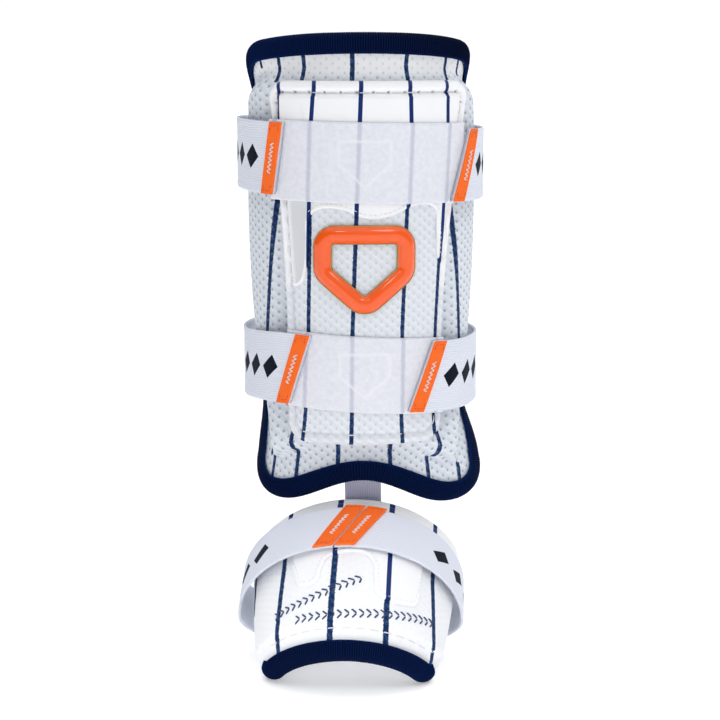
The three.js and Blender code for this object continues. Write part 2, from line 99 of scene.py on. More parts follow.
# Pinstripes: half width, and the places of their middles across, at each listed height where they lean
STRIPE_HALF = 1.12
PLATE_STRIPE_UPS = (115, 175, 241, 282, 304.5)
PLATE_STRIPES = (
    (-56, -53, -50.3, -47.3, -46.9), (-33.5, -30.6, -29, -27.6, -25.8), (-6.9, -6.3, -4, -2.5, -1.7),
    (20.2, 20.5, 22.8, 24.1, 23.4), (39.8, 40.8, 44.2, 46.2, 45.8),
)
FOOT_STRIPE_UPS, FOOT_STRIPE_SHARE = (10, 60), 0.8
FOOT_STRIPES = ((-63, -60.5), (-36, -34.2), (-7.5, -7.1), (18.2, 18.2), (47.5, 43.4), (73, 69))
TOP_STRIPES = (-74, -60, -45.5, -30, -5.5, 20.8, 45.5, 58, 74)
WING_STRIPE_UPS = (115, 280)
WING_STRIPES = ((-53.6, -39.6), (-34.2, -18), (36.4, 20), (54, 42.2))
OUTER_STRIPE = dict(across=44, stop=126)
TOP_STRIP = dict(across=50, up=303)
FLAP_MIDDLE = dict(across=26, up=118)
FLAP_STRIPES = (-50.5, -34.5, -12.8, 13.1, 33.5, 51.6)

# Fold across the bottom corners of the shin pad: across and up
CREASE = np.array([(-75, 95), (-46, 100), (-33, 105), (33, 101.5), (50, 95.5), (75, 90)])

# Lower edges of the leather overlays, across and up
PLATE_WAVE = np.array([
    (-44, 204), (-42, 199), (-38, 197), (-34, 199), (-31.3, 206), (-29.8, 222), (-28.6, 234.5),
    (-23.6, 238.2), (-16, 238.7), (-10, 237.6), (-3.7, 234.7), (5, 233), (13.6, 234.6),
    (22.6, 238.5), (31, 240.6), (37.6, 239), (40.3, 226), (41.8, 211), (45, 208), (48.5, 211),
])
FOOT_WAVE = np.array([
    (-27, 60), (-24.9, 52), (-23, 45), (-19, 42.8), (-14.2, 43.8), (-12, 52), (-9.6, 59.1),
    (-3.5, 62), (6, 61.6), (9.4, 56), (10.6, 46), (12.4, 37), (18.6, 33.9), (25, 34.4),
    (30.7, 36.6), (32.8, 44), (33.8, 56),
])

# Inside radius of each calf strap by the angle from the front; its slope across the front, and its slope
# and drop at its sides; and its right and left ends with their slants
UPPER_ROUND = np.array([(32, 72.6), (52, 72.2), (70, 68.2), (90, 66), (125, 64), (180, 62)])
LOWER_ROUND = np.array([(18, 69.9), (42, 69.7), (64, 65.6), (90, 63.4), (125, 61), (180, 59)])
STRAP_TURN = (25, 80)
UPPER = dict(table=UPPER_ROUND, height=262.3, tilt=-0.042, side_tilt=-0.042, drop=0)
UPPER |= dict(left=-37, right=44, slants=(0.36, 0.17))
LOWER = dict(table=LOWER_ROUND, height=150.8, tilt=-0.06, side_tilt=-0.0215, drop=2.5)
LOWER |= dict(left=-28.4, right=25, slants=(0.38, 0.33))

# The photograph's view: camera place in metres, its direction, and its lens on a 36 mm frame
CAMERA_PLACE = (-0.0358, -0.9765, 0.124)
CAMERA_AZIMUTH, CAMERA_PITCH, CAMERA_LENS, CAMERA_FRAME = -2.0, 9.8, 91.9, 36

# Strength of the surroundings in each direction, and the share of it that is lost at each side
DAYLIGHT = dict(front=0.415, back=1.06, overhead=0.72, left_loss=0.92, right_loss=0.6)
DAYLIGHT_TINT = (0.965, 0.98, 1, 1)


def paint(red, green, blue):
    """Linear colour that reads on screen as these values from 0 to 255."""
    screen = np.array([red, green, blue]) / 255
    linear = np.where(screen <= 0.04045, screen / 12.92, ((screen + 0.055) / 1.055) ** 2.4)
    return (*linear.tolist(), 1)


MESH_WHITE = paint(247, 248, 250)
MESH_GREY_AND_SHADE = paint(196, 206, 220)
LEATHER_WHITE = paint(250, 250, 252)
LEATHER_PAINTED_SHADE = paint(208, 212, 216)
HOLE_SHADE = paint(112, 120, 132)
NEEDLE_SHADE = paint(84, 82, 80)
NAVY = paint(18, 44, 88)
BLUE = paint(2, 40, 106)
TAPE_NAVY = paint(0, 8, 34)
TAPE_EDGE = paint(4, 32, 84)
INK = paint(0, 12, 30)
LOOP_LILAC = paint(237, 239, 246)
ELASTIC_LILAC = paint(232, 235, 245)
ELASTIC_SHADE = paint(223, 227, 240)
LINK_GREY = paint(206, 206, 226)
ORANGE = paint(255, 108, 36)
ENAMEL = paint(255, 96, 20)
GOLD = paint(176, 138, 58)
LINING = paint(214, 216, 222)
THREAD_WHITE = paint(238, 238, 240)
THREAD_ORANGE = paint(214, 66, 16)


# Formulas shared by the pieces
def smoothstep(x, low, high):
    """0 below low, 1 above high, with a smooth turn between."""
    t = np.clip((x - low) / (high - low), 0, 1)
    return t * t * (3 - 2 * t)


def hump(x, centre, width):
    """Bell curve of height 1 about a centre."""
    return np.exp(-(((x - centre) / width) ** 2))


def dome(inset, radius):
    """Quarter round: 0 at the edge and 1 from a radius inward."""
    return np.sqrt(1 - (1 - np.clip(inset / radius, 0, 1)) ** 2)


def read_smooth(x, table):
    """Cubic reading of a two-column table, with the table's own central slopes."""
    knots, values = table[:, 0], table[:, 1]
    slopes = np.gradient(values, knots)
    i = np.clip(np.searchsorted(knots, x) - 1, 0, len(knots) - 2)
    width = knots[i + 1] - knots[i]
    t = np.clip((x - knots[i]) / width, 0, 1)
    start = (1 + 2 * t) * (1 - t) ** 2 * values[i] + t * (1 - t) ** 2 * width * slopes[i]
    end = t * t * (3 - 2 * t) * values[i + 1] + t * t * (t - 1) * width * slopes[i + 1]
    return start + end


def lengths_along(points):
    """Distance run from the first point to each point of a line."""
    steps = np.linalg.norm(np.diff(points, axis=0), axis=1)
    return np.concatenate([[0], np.cumsum(steps)])


def at_length(points, distance):
    """Points of a line at the given distances run along it."""
    run = lengths_along(points)
    columns = [np.interp(distance, run, column) for column in points.T]
    return np.stack(columns, axis=-1)


def smooth_path(points, count):
    """Evenly spaced points of a smooth line through the given points."""
    run = lengths_along(points)
    fine = np.linspace(0, run[-1], 8 * count)
    columns = [read_smooth(fine, np.column_stack([run, column])) for column in points.T]
    line = np.stack(columns, axis=-1)
    return at_length(line, np.linspace(0, lengths_along(line)[-1], count))


def unit(vectors):
    """Vectors scaled to length 1."""
    return vectors / np.linalg.norm(vectors, axis=-1, keepdims=True)


def right_of(along):
    """Flat unit vectors to the right of flat directions."""
    along = unit(along)
    return np.stack([along[:, 1], -along[:, 0]], axis=-1)


def outward(path, closed):
    """Unit vectors to the right of a flat path, which is outward on a counter-clockwise one."""
    if closed:
        along = np.roll(path, -1, axis=0) - np.roll(path, 1, axis=0)
    else:
        along = np.gradient(path, axis=0)
    return right_of(along)


def nearest(path, across, up):
    """Distance from flat points to a line, and the distance run along the line to the nearest place."""
    run = lengths_along(path)
    best = np.full(np.shape(across), np.inf)
    where = np.zeros(np.shape(across))
    for start, end, before in zip(path[:-1], path[1:], run):
        step = end - start
        length = np.hypot(*step)
        if length == 0:
            continue
        t = ((across - start[0]) * step[0] + (up - start[1]) * step[1]) / length**2
        t = np.clip(t, 0, 1)
        distance = np.hypot(across - start[0] - t * step[0], up - start[1] - t * step[1])
        where = np.where(distance < best, before + t * length, where)
        best = np.minimum(best, distance)
    return best, where


# Wrapping of flat points
def leg_radius(up):
    """Inside radius of the shin pad: a slight taper with a flare at each end."""
    top = TOP_FLARE["rise"] * smoothstep(up, TOP_FLARE["low"], TOP_FLARE["high"])
    bottom = BOTTOM_FLARE["rise"] * (1 - smoothstep(up, BOTTOM_FLARE["low"], BOTTOM_FLARE["high"]))
    return LEG["radius"] + LEG["taper"] * (up - LEG["at"]) + top + bottom


def polar(angle, radius, up):
    """Point at an angle from the front, a radius from the leg axis and a height above the floor."""
    x = radius * np.sin(angle)
    y = leg_radius(SEAT_HEIGHT) - radius * np.cos(angle)
    return np.stack(np.broadcast_arrays(x, y, up - SEAT_HEIGHT), axis=-1)


def corner_flare(across, up):
    """Extra radius of the pad's right bottom corner and left top corner, each by across and by up."""
    low = BOTTOM_CORNER["rise"] * smoothstep(across, *BOTTOM_CORNER["across"])
    high = TOP_CORNER["rise"] * smoothstep(-across, *TOP_CORNER["across"])
    return low * (1 - smoothstep(up, *BOTTOM_CORNER["up"])) + high * smoothstep(up, *TOP_CORNER["up"])


def on_pad(across, up, height):
    """Flat point wrapped round the leg, with across measured at the pad's reference radius."""
    return polar(across / PAD["reference"], leg_radius(up) + corner_flare(across, up) + height, up)


def on_plate(across, up, height):
    """Flat point wrapped round the leg, with across measured at the plate's reference radius."""
    return polar(across / PLATE["reference"], leg_radius(up) + height, up)


def place_foot(x, y, z):
    """Point of the foot guard's own frame, turned and set down in front of the leg."""
    yaw = math.radians(FOOT_PLACE["yaw"])
    turned_x = x * math.cos(yaw) - y * math.sin(yaw) + FOOT_PLACE["x"]
    turned_y = x * math.sin(yaw) + y * math.cos(yaw) + FOOT_PLACE["y"] + leg_radius(SEAT_HEIGHT)
    return np.stack(np.broadcast_arrays(turned_x, turned_y, z - SEAT_HEIGHT), axis=-1)


def instep_slope(up):
    """Slope of the instep, in radians, at a distance up from the toe edge."""
    return math.radians(FOOT["slope"]) - up / FOOT["bend"]


def on_foot_local(across, up, height):
    """Half tube over the instep that bends back on a large circle and widens with length: x, y and z."""
    radius = FOOT["radius"] + height
    middle = FOOT["bend"] - FOOT["radius"]
    rise = middle + radius * np.cos(across / FOOT["reference"])
    slope, toe = instep_slope(up), instep_slope(0)
    x = radius * np.sin(across / FOOT["reference"]) * (1 + FOOT["widen"] * up)
    y = middle * np.sin(toe) - rise * np.sin(slope)
    z = rise * np.cos(slope) - middle * np.cos(toe) + FOOT["lift"]
    return x, y, z


def on_foot(across, up, height):
    """Flat point laid over the instep."""
    return place_foot(*on_foot_local(across, up, height))


class Panel:
    """Flat panel between a top and a bottom edge line, with rounded corners and bulging sides."""

    EDGE_STEPS = 60

    def __init__(self, top, top_line, bottom, bottom_line, bulge, inner):
        self.top, self.top_line = top, top_line
        self.bottom, self.bottom_line = bottom, bottom_line
        self.bulge, self.inner = bulge, inner
        steps = np.linspace(-1, 1, self.EDGE_STEPS)
        self.bottom_edge = self.at(steps, -1)
        self.right_edge = self.at(1, steps)
        self.top_edge = self.at(-steps, 1)
        self.left_edge = self.at(-1, -steps)
        self.outline = np.concatenate([self.bottom_edge, self.right_edge, self.top_edge, self.left_edge])

    def split(self, t, inner):
        """Share of the straight run, and angle turned round the corner past it."""
        run = np.clip(t / inner, -1, 1)
        turn = np.clip((np.abs(t) - inner) / (1 - inner), 0, 1) * math.pi / 2
        return run, turn

    def edge(self, side, line, a, sign):
        """Point of the top or bottom edge: along its line, then down or up round the corner."""
        run, turn = self.split(a, self.inner[0])
        half = np.where(a > 0, side.get("right", side["half"]), side["half"])
        across = (half - side["corner"]) * run + np.sign(a) * side["corner"] * np.sin(turn)
        return across, line(across) - sign * side["corner"] * (1 - np.cos(turn))

    def at(self, a, b):
        """Flat point for a and b from -1 to 1, between the bottom edge and the top edge."""
        a, b = np.broadcast_arrays(np.asarray(a, float), np.asarray(b, float))
        high_x, high_y = self.edge(self.top, self.top_line, a, 1)
        low_x, low_y = self.edge(self.bottom, self.bottom_line, a, -1)
        span = self.top_line(0) - self.bottom_line(0)
        run, turn = self.split(b, self.inner[1])
        low = self.bottom["corner"] / span * np.where(run < 0, 1 - np.sin(turn), 1)
        high = 1 - self.top["corner"] / span * np.where(run > 0, 1 - np.sin(turn), 1)
        v = low + (high - low) * (run + 1) / 2
        swell = np.where(a > 0, self.bulge[1], self.bulge[0]) * 4 * v * (1 - v) * high_x / self.top["half"]
        return np.stack([low_x + (high_x - low_x) * v + swell, low_y + (high_y - low_y) * v], axis=-1)

    def grid(self, columns, rows):
        """Flat points of a grid over the panel, rows from the bottom up."""
        return self.at(np.linspace(-1, 1, columns)[None, :], np.linspace(-1, 1, rows)[:, None])


def pad_bottom_line(across):
    """Bottom edge of the shin pad: a raised-cosine arch over the ankle, on a slight slope."""
    share = (1 + np.cos(np.clip(np.abs(across) / PAD_BOTTOM["arch_half"], 0, 1) * math.pi)) / 2
    return PAD_BOTTOM["up"] + PAD_BOTTOM["lean"] * across + PAD_BOTTOM["arch"] * share


SHIN_PANEL = Panel(
    PAD_TOP, lambda across: PAD_TOP["up"] - PAD_TOP["crown"] * across**2,
    PAD_BOTTOM, pad_bottom_line, (12, 12), (1 - 10 / 30, 1 - 10 / 22),
)
PLATE_PANEL = Panel(
    PLATE_TOP, lambda across: PLATE_TOP["up"] + 0 * across,
    PLATE_BOTTOM, lambda across: PLATE_BOTTOM["up"] + 0 * across, PLATE_BULGE, (1 - 8 / 20, 1 - 8 / 18),
)
FOOT_PANEL = Panel(
    FOOT_TOP, lambda across: FOOT_TOP["up"] + FOOT_TOP["dip"] * across**2,
    FOOT_BOTTOM, lambda across: FOOT_BOTTOM["up"] + 0 * across, (4, 4), (1 - 8 / 22, 1 - 8 / 16),
)
FOOT_PLAIN = np.concatenate([FOOT_PANEL.right_edge, FOOT_PANEL.top_edge, FOOT_PANEL.left_edge])


def even_loop(points, count):
    """Evenly spaced points round a closed outline, which may repeat its corners."""
    loop = np.concatenate([points, points[:1]])
    return at_length(loop, np.arange(count) * lengths_along(loop)[-1] / count)


def seam_inside(points, inset):
    """Closed line a distance inside an outline, and its length."""
    loop = even_loop(points, 300)
    seam = loop - outward(loop, True) * inset
    seam = np.concatenate([seam, seam[:1]])
    return seam, lengths_along(seam)[-1]


PLATE_SEAM, PLATE_SEAM_LENGTH = seam_inside(PLATE_PANEL.outline, PLATE["stitch"])
PLATE_STITCH = PLATE_SEAM_LENGTH / round(PLATE_SEAM_LENGTH / PLATE["stitch_pitch"])
PLATE_BASE = PAD["flange"] + PAD["bolster"] + PLATE["seat"]
PLATE_FACE = PLATE_BASE + PLATE["thickness"]


# Heights of the padded faces above the inside of the pad
WING_TOP, WING_LEAN, WING_PUFF = 309, -0.035, 4.6
WING_EDGE = dict(beside=9, inset=(13, 27), rounding=8, up=(96, 122))
PAD_SHOULDER = (13.5, 28)
FOLD_LIP = dict(above=8, width=7, height=2.6)
PLATE_GROOVE = dict(depth=1.6, width=1.3, needle_depth=0.7, needle_width=0.75)
PLATE_ROLL = dict(height=0.7, inset=3.2, width=2.0)
FOOT_SHOULDER = dict(up=(12, 21), rounding=6)
FOOT_SEAM = dict(depth=1.2, width=1.3)
FOOT_HEM = dict(depth=0.6, inset=6.5, width=1.0)


def fold_up(across):
    """Height of the fold across the pad's bottom corners."""
    return np.interp(across, CREASE[:, 0], CREASE[:, 1])


def crease_share(across, up):
    """0 on the flap below the fold at the pad's bottom corners, 1 on the body above it, and its lip."""
    fold = fold_up(across)
    corner = smoothstep(np.abs(across), 22, 34)
    share = 1 - corner * (1 - smoothstep(up, fold - 0.5, fold + 3.5))
    lip = corner * hump(up, fold + FOLD_LIP["above"], FOLD_LIP["width"])
    return share, lip


def plate_side(across, up):
    """Half width of the plate, at a height, on the side of its middle where a point lies."""
    taper = np.clip((up - PLATE_BOTTOM["up"]) / (PLATE_TOP["up"] - PLATE_BOTTOM["up"]), 0, 1)
    bow = 4 * taper * (1 - taper)
    left, right = (
        PLATE_BOTTOM[side] * (1 - taper) + PLATE_TOP[side] * taper + bulge * bow
        for side, bulge in zip(("half", "right"), PLATE_BULGE)
    )
    return np.where(across > 0, right, left)


def plate_side_on_pad(across, up):
    """Half width of the plate, measured as the pad's own across."""
    return plate_side(across, up) * PAD["reference"] / PLATE["reference"]


def wing_share(across, up, inset):
    """Fullness of the padded wings: rounded at their tops, between the plate's side and the tape."""
    side = plate_side_on_pad(across, up)
    beside = smoothstep(np.abs(across), side, side + WING_EDGE["beside"])
    below_top = WING_TOP + WING_LEAN * across - up
    full = beside * smoothstep(inset, *WING_EDGE["inset"]) * dome(below_top, WING_EDGE["rounding"])
    return full * smoothstep(up, *WING_EDGE["up"])


def pad_height(across, up):
    """Front of the shin pad: a thin edge, a raised body, padded wings, and a fold at each bottom corner."""
    inset, _ = nearest(SHIN_PANEL.outline, across, up)
    share, lip = crease_share(across, up)
    body = smoothstep(inset, *PAD_SHOULDER) * share
    wings = wing_share(across, up, inset)
    return PAD["flange"] + PAD["bolster"] * body + WING_PUFF * wings + FOLD_LIP["height"] * lip * body


def needle_share(beside, along):
    """1 at the needle holes of the plate's seam and 0 away from them."""
    turn = np.cos(2 * math.pi * along / PLATE_STITCH)
    return hump(beside, 0, PLATE_GROOVE["needle_width"]) * smoothstep(turn, 0.82, 1)


def quiet_side(across, up):
    """1 along the plate's right side, where its seam lies flatter and its thread is hidden, 0 elsewhere."""
    return smoothstep(across, 20, 30) * smoothstep(up, 128, 140) * (1 - smoothstep(up, 262, 276))


def plate_height(across, up):
    """Front of the plate: a plump rolled rim, and a seam groove pulled in at each needle hole."""
    inset, _ = nearest(PLATE_PANEL.outline, across, up)
    beside, along = nearest(PLATE_SEAM, across, up)
    pull = 0.75 + 0.25 * np.cos(2 * math.pi * along / PLATE_STITCH)
    slack = 1 - 0.65 * quiet_side(across, up)
    groove = PLATE_GROOVE["depth"] * hump(beside, 0, PLATE_GROOVE["width"]) * pull
    groove = (groove + PLATE_GROOVE["needle_depth"] * needle_share(beside, along)) * slack
    roll = PLATE_ROLL["height"] * hump(inset, PLATE_ROLL["inset"], PLATE_ROLL["width"])
    return PLATE_BASE + (PLATE["thickness"] - 0.2) * dome(inset, PLATE["rim"]) + roll - groove


def foot_height(across, up):
    """Front of the foot pad: thin under the toe tape, full behind it, rolled in at its sides and ankle,
    with a seam across the toe and a sewn hem at the ankle."""
    plain, _ = nearest(FOOT_PLAIN, across, up)
    hem, _ = nearest(FOOT_PANEL.top_edge, across, up)
    rounded = 0.3 + 0.7 * dome(plain, FOOT_SHOULDER["rounding"])
    rise = np.minimum(smoothstep(up, *FOOT_SHOULDER["up"]), rounded)
    seam = FOOT_SEAM["depth"] * hump(up, FOOT_PAD["seam"], FOOT_SEAM["width"])
    hem_groove = FOOT_HEM["depth"] * hump(hem, FOOT_HEM["inset"], FOOT_HEM["width"])
    return FOOT_PAD["flange"] + FOOT_PAD["bolster"] * rise - seam - hem_groove


# Distance from each point to the nearest pinstripe
def to_nearest(value, middles):
    """Distance from a value to the nearest of a few middles."""
    return np.min(np.abs(value[..., None] - np.asarray(middles)), axis=-1)


def to_lines(across, up, ups, lines):
    """Distance from flat points to the nearest of some leaning lines, each given by its places at ups."""
    places = np.stack([np.interp(up, ups, line) for line in lines], axis=-1)
    return np.min(np.abs(across[..., None] - places), axis=-1)


def pad_stripe(across, up):
    """Stripes of the shin pad: a top strip, two wings whose stripes spread downward, and a bottom flap.
    The outermost stripe on the right wing stops above the flap."""
    wing = to_lines(across, up, WING_STRIPE_UPS, WING_STRIPES)
    wing = np.where((across > OUTER_STRIPE["across"]) & (up < OUTER_STRIPE["stop"]), STRIPE_HALF * 4, wing)
    flap_top = np.where(np.abs(across) < FLAP_MIDDLE["across"], FLAP_MIDDLE["up"], fold_up(across) + 1)
    below = np.where(up < flap_top, to_nearest(across, FLAP_STRIPES), wing)
    wing_top = WING_TOP + WING_LEAN * across - 1
    top = up > np.where(np.abs(across) > TOP_STRIP["across"], wing_top, TOP_STRIP["up"])
    return np.where(top, to_nearest(across, TOP_STRIPES), below)


def plate_stripe(across, up):
    """Stripes of the plate, leaning a little from its foot to its top, and straight over its rolled rim."""
    radius = leg_radius(up)
    size = (radius + plate_height(across, up)) / (radius + PLATE_FACE)
    return to_lines(across * size, up, PLATE_STRIPE_UPS, PLATE_STRIPES)


def foot_stripe(across, up):
    """Stripes of the foot pad, even although the pad widens towards the ankle and thins at the toe."""
    full = FOOT["radius"] + FOOT_PAD["flange"] + FOOT_PAD["bolster"]
    size = (FOOT["radius"] + foot_height(across, up)) / full
    return to_lines(across * size * (1 + FOOT["widen"] * up), up, FOOT_STRIPE_UPS, FOOT_STRIPES)


# Meshes
def grid_faces(rows, columns, round_rows=False, round_columns=False):
    """Four-sided faces between neighbours of a grid of points, joined round where asked."""
    index = np.arange(rows * columns).reshape(rows, columns)
    if round_rows:
        index = np.concatenate([index, index[:1]])
    if round_columns:
        index = np.concatenate([index, index[:, :1]], axis=1)
    corners = (index[:-1, :-1], index[:-1, 1:], index[1:, 1:], index[1:, :-1])
    return np.stack([corner.ravel() for corner in corners], axis=-1)


def panel_faces(rows, columns):
    """Faces of a closed body with a front grid, a back grid and a wall round their edges."""
    front = grid_faces(rows, columns)
    back = front[:, ::-1] + rows * columns
    index = np.arange(rows * columns).reshape(rows, columns)
    rim = np.concatenate([index[0, :-1], index[:-1, -1], index[-1, :0:-1], index[:0:-1, 0]])
    after = np.roll(rim, -1)
    wall = np.stack([rim, rim + rows * columns, after + rows * columns, after], axis=-1)
    return np.concatenate([front, back, wall])


def loft_faces(stations, sides, closed=False):
    """Faces of a section carried along a path, closed round on itself or capped across its two halves."""
    around = grid_faces(stations, sides, round_rows=closed, round_columns=True)
    if closed:
        return around
    i = np.arange(sides // 2 - 1)
    cap = np.stack([i, i + 1, sides - 2 - i, sides - 1 - i], axis=-1)
    return np.concatenate([around, cap[:, ::-1], cap + (stations - 1) * sides])


def add_object(name, data):
    """New object in the scene."""
    thing = bpy.data.objects.new(name, data)
    bpy.context.scene.collection.objects.link(thing)
    return thing


def make_piece(name, points, faces, finishes, flat=None, marks=None, face_finish=None):
    """Mesh piece from points in millimetres, with its flat pattern as a UV map and its marks as attributes.
    Faces are all turned over where the volume that they enclose comes out negative."""
    points = points.reshape(-1, 3) * MM
    p, q, r, s = (points[faces[:, k]] for k in range(4))
    volume = np.sum(p * np.cross(q, r)) + np.sum(p * np.cross(r, s))
    if volume < 0:
        faces = faces[:, ::-1]
    mesh = bpy.data.meshes.new(name)
    mesh.from_pydata(points, [], faces)
    mesh.polygons.foreach_set("use_smooth", np.ones(len(faces), bool))
    if flat is not None:
        layer = mesh.uv_layers.new(name="flat")
        layer.data.foreach_set("uv", (flat.reshape(-1, 2) * MM)[faces.ravel()].ravel())
    for mark, values in (marks or {}).items():
        attribute = mesh.attributes.new(mark, "FLOAT", "POINT")
        attribute.data.foreach_set("value", np.ravel(values).astype(np.float32))
    for finish in finishes:
        mesh.materials.append(finish)
    if face_finish is not None:
        mesh.polygons.foreach_set("material_index", face_finish.astype(np.int32))
    mesh.update()
    piece = add_object(name, mesh)
    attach(piece, "root")
    return piece


def panel_piece(name, flat, front, back, surface, finishes, marks):
    """Closed panel body from flat points and the heights of its front and back, wrapped by a surface."""
    rows, columns = flat.shape[:2]
    across, up = flat[..., 0], flat[..., 1]
    points = np.concatenate([surface(across, up, front), surface(across, up, back)])
    faces = panel_faces(rows, columns)
    both = {mark: np.concatenate([values, values]) for mark, values in marks.items()}
    count = (rows - 1) * (columns - 1)
    back_finish = np.zeros(len(faces))
    back_finish[count:] = len(finishes) - 1
    return make_piece(name, points, faces, finishes, np.concatenate([flat, flat]), both, back_finish)


def band_section(width, thickness, count):
    """Section of a flat band as distance across and lift: rounded edges, top face then bottom face."""
    x = width / 2 * np.sin(np.linspace(-math.pi / 2, math.pi / 2, count))
    round_share = 0.2 + 0.8 * dome(width / 2 - np.abs(x), thickness * 0.6)
    top = thickness / 2 * (1 + round_share)
    return np.concatenate([x, x[::-1]]), np.concatenate([top, (thickness - top)[::-1]])


def thread_piece(name, starts, ends, surface, height, finish, radius, lift, bury):
    """Stitches from start to end places: six-sided threads that arch up and plunge in at both ends."""
    stations, sides = 7, 6
    t = np.linspace(-1, 1, stations)
    share = ((t + 1) / 2)[None, :, None]
    middle = starts[:, None, :] * (1 - share) + ends[:, None, :] * share
    beside = right_of(ends - starts)
    turn = 2 * math.pi * np.arange(sides) / sides
    thick = radius * (0.45 + 0.55 * np.sqrt(1 - t**4 * 0.99))
    aside = (thick[:, None] * np.cos(turn))[None, :, :, None]
    across = middle[:, :, None, :] + beside[:, None, None, :] * aside
    base = height(middle[..., 0], middle[..., 1]) + lift - bury * t[None, :] ** 6
    heights = base[:, :, None] + (thick[:, None] * np.sin(turn))[None]
    points = surface(across[..., 0], across[..., 1], heights)
    one = loft_faces(stations, sides)
    faces = one[None] + (np.arange(len(starts)) * stations * sides)[:, None, None]
    return make_piece(name, points, faces.reshape(-1, 4), [finish])


def stitch_ends(path, pitch, share):
    """Starts and ends of even stitches along a flat line."""
    total = lengths_along(path)[-1]
    count = max(1, round(total / pitch))
    middles = (np.arange(count) + 0.5) * total / count
    half = share * total / count / 2
    return at_length(path, middles - half), at_length(path, middles + half)


# Finishes
class Value:
    """A shader socket that takes part in arithmetic: each operation adds a Math node to its finish."""

    def __init__(self, finish, socket):
        self.finish, self.socket = finish, socket

    def math(self, operation, *others):
        """Result of a Math node's operation on this value and others."""
        sockets = dict(enumerate((self, *others)))
        node = self.finish.node("ShaderNodeMath", {"operation": operation}, sockets)
        return Value(self.finish, node.outputs[0])

    def wave(self, pitch):
        """Sine wave along this value, repeating at a pitch."""
        return (self * (2 * math.pi / pitch)).math("SINE")

    def __add__(self, other):
        return self.math("ADD", other)

    def __sub__(self, other):
        return self.math("SUBTRACT", other)

    def __rsub__(self, other):
        return self * -1 + other

    def __mul__(self, other):
        return self.math("MULTIPLY", other)

    def __truediv__(self, other):
        return self.math("DIVIDE", other)

    __radd__ = __add__
    __rmul__ = __mul__


class Nodes:
    """A node tree that nodes are added to."""

    def __init__(self, tree):
        self.tree = tree

    def node(self, kind, settings, sockets):
        """New node of a kind, with its settings, then its sockets' values or links."""
        node = self.tree.nodes.new(kind)
        for name, value in settings.items():
            setattr(node, name, value)
        for key, value in sockets.items():
            self.plug(node.inputs[key], value)
        return node

    def plug(self, socket, value):
        """Link a socket to a shader value, or set it to a plain one."""
        if isinstance(value, Value):
            self.tree.links.new(value.socket, socket)
        else:
            socket.default_value = value

    def smooth(self, value, low, high):
        """0 below low, 1 above high, with a smooth turn between."""
        sockets = {"Value": value, "From Min": low, "From Max": high}
        node = self.node("ShaderNodeMapRange", {"interpolation_type": "SMOOTHSTEP"}, sockets)
        return Value(self, node.outputs[0])


class Finish(Nodes):
    """A material built round one Principled shader."""

    def __init__(self, name, **sockets):
        self.material = bpy.data.materials.new(name)
        self.material.use_nodes = True
        super().__init__(self.material.node_tree)
        self.shader = self.tree.nodes["Principled BSDF"]
        self.set(**sockets)

    def set(self, **sockets):
        """Values or links of the shader's sockets, with their names' spaces as underscores."""
        for name, value in sockets.items():
            self.plug(self.shader.inputs[name.replace("_", " ")], value)

    def flat(self):
        """Flat pattern coordinates in millimetres."""
        uv = self.node("ShaderNodeUVMap", {"uv_map": "flat"}, {})
        parts = self.node("ShaderNodeSeparateXYZ", {}, {0: Value(self, uv.outputs[0])})
        return Value(self, parts.outputs[0]) / MM, Value(self, parts.outputs[1]) / MM

    def mark(self, name):
        """A piece's own attribute."""
        node = self.node("ShaderNodeAttribute", {"attribute_name": name}, {})
        return Value(self, node.outputs["Fac"])

    def noise(self, size, detail=2.0):
        """Soft noise in object space with features of a size in millimetres."""
        coords = self.node("ShaderNodeTexCoord", {}, {})
        place = Value(self, coords.outputs["Object"])
        sockets = {"Vector": place, "Scale": 1 / (size * MM), "Detail": detail}
        return Value(self, self.node("ShaderNodeTexNoise", {}, sockets).outputs[0])

    def mix(self, mask, first, second):
        """First colour where the mask is 0, second where it is 1."""
        sockets = {0: mask, 6: first, 7: second}
        return Value(self, self.node("ShaderNodeMix", {"data_type": "RGBA"}, sockets).outputs[2])

    def bump(self, height, depth):
        """Bumps of a depth in millimetres."""
        node = self.node("ShaderNodeBump", {}, {"Height": height, "Distance": depth * MM, "Strength": 1.0})
        return Value(self, node.outputs[0])


HOLE_ROW, HOLE_COLUMN = 2.4, 6.0


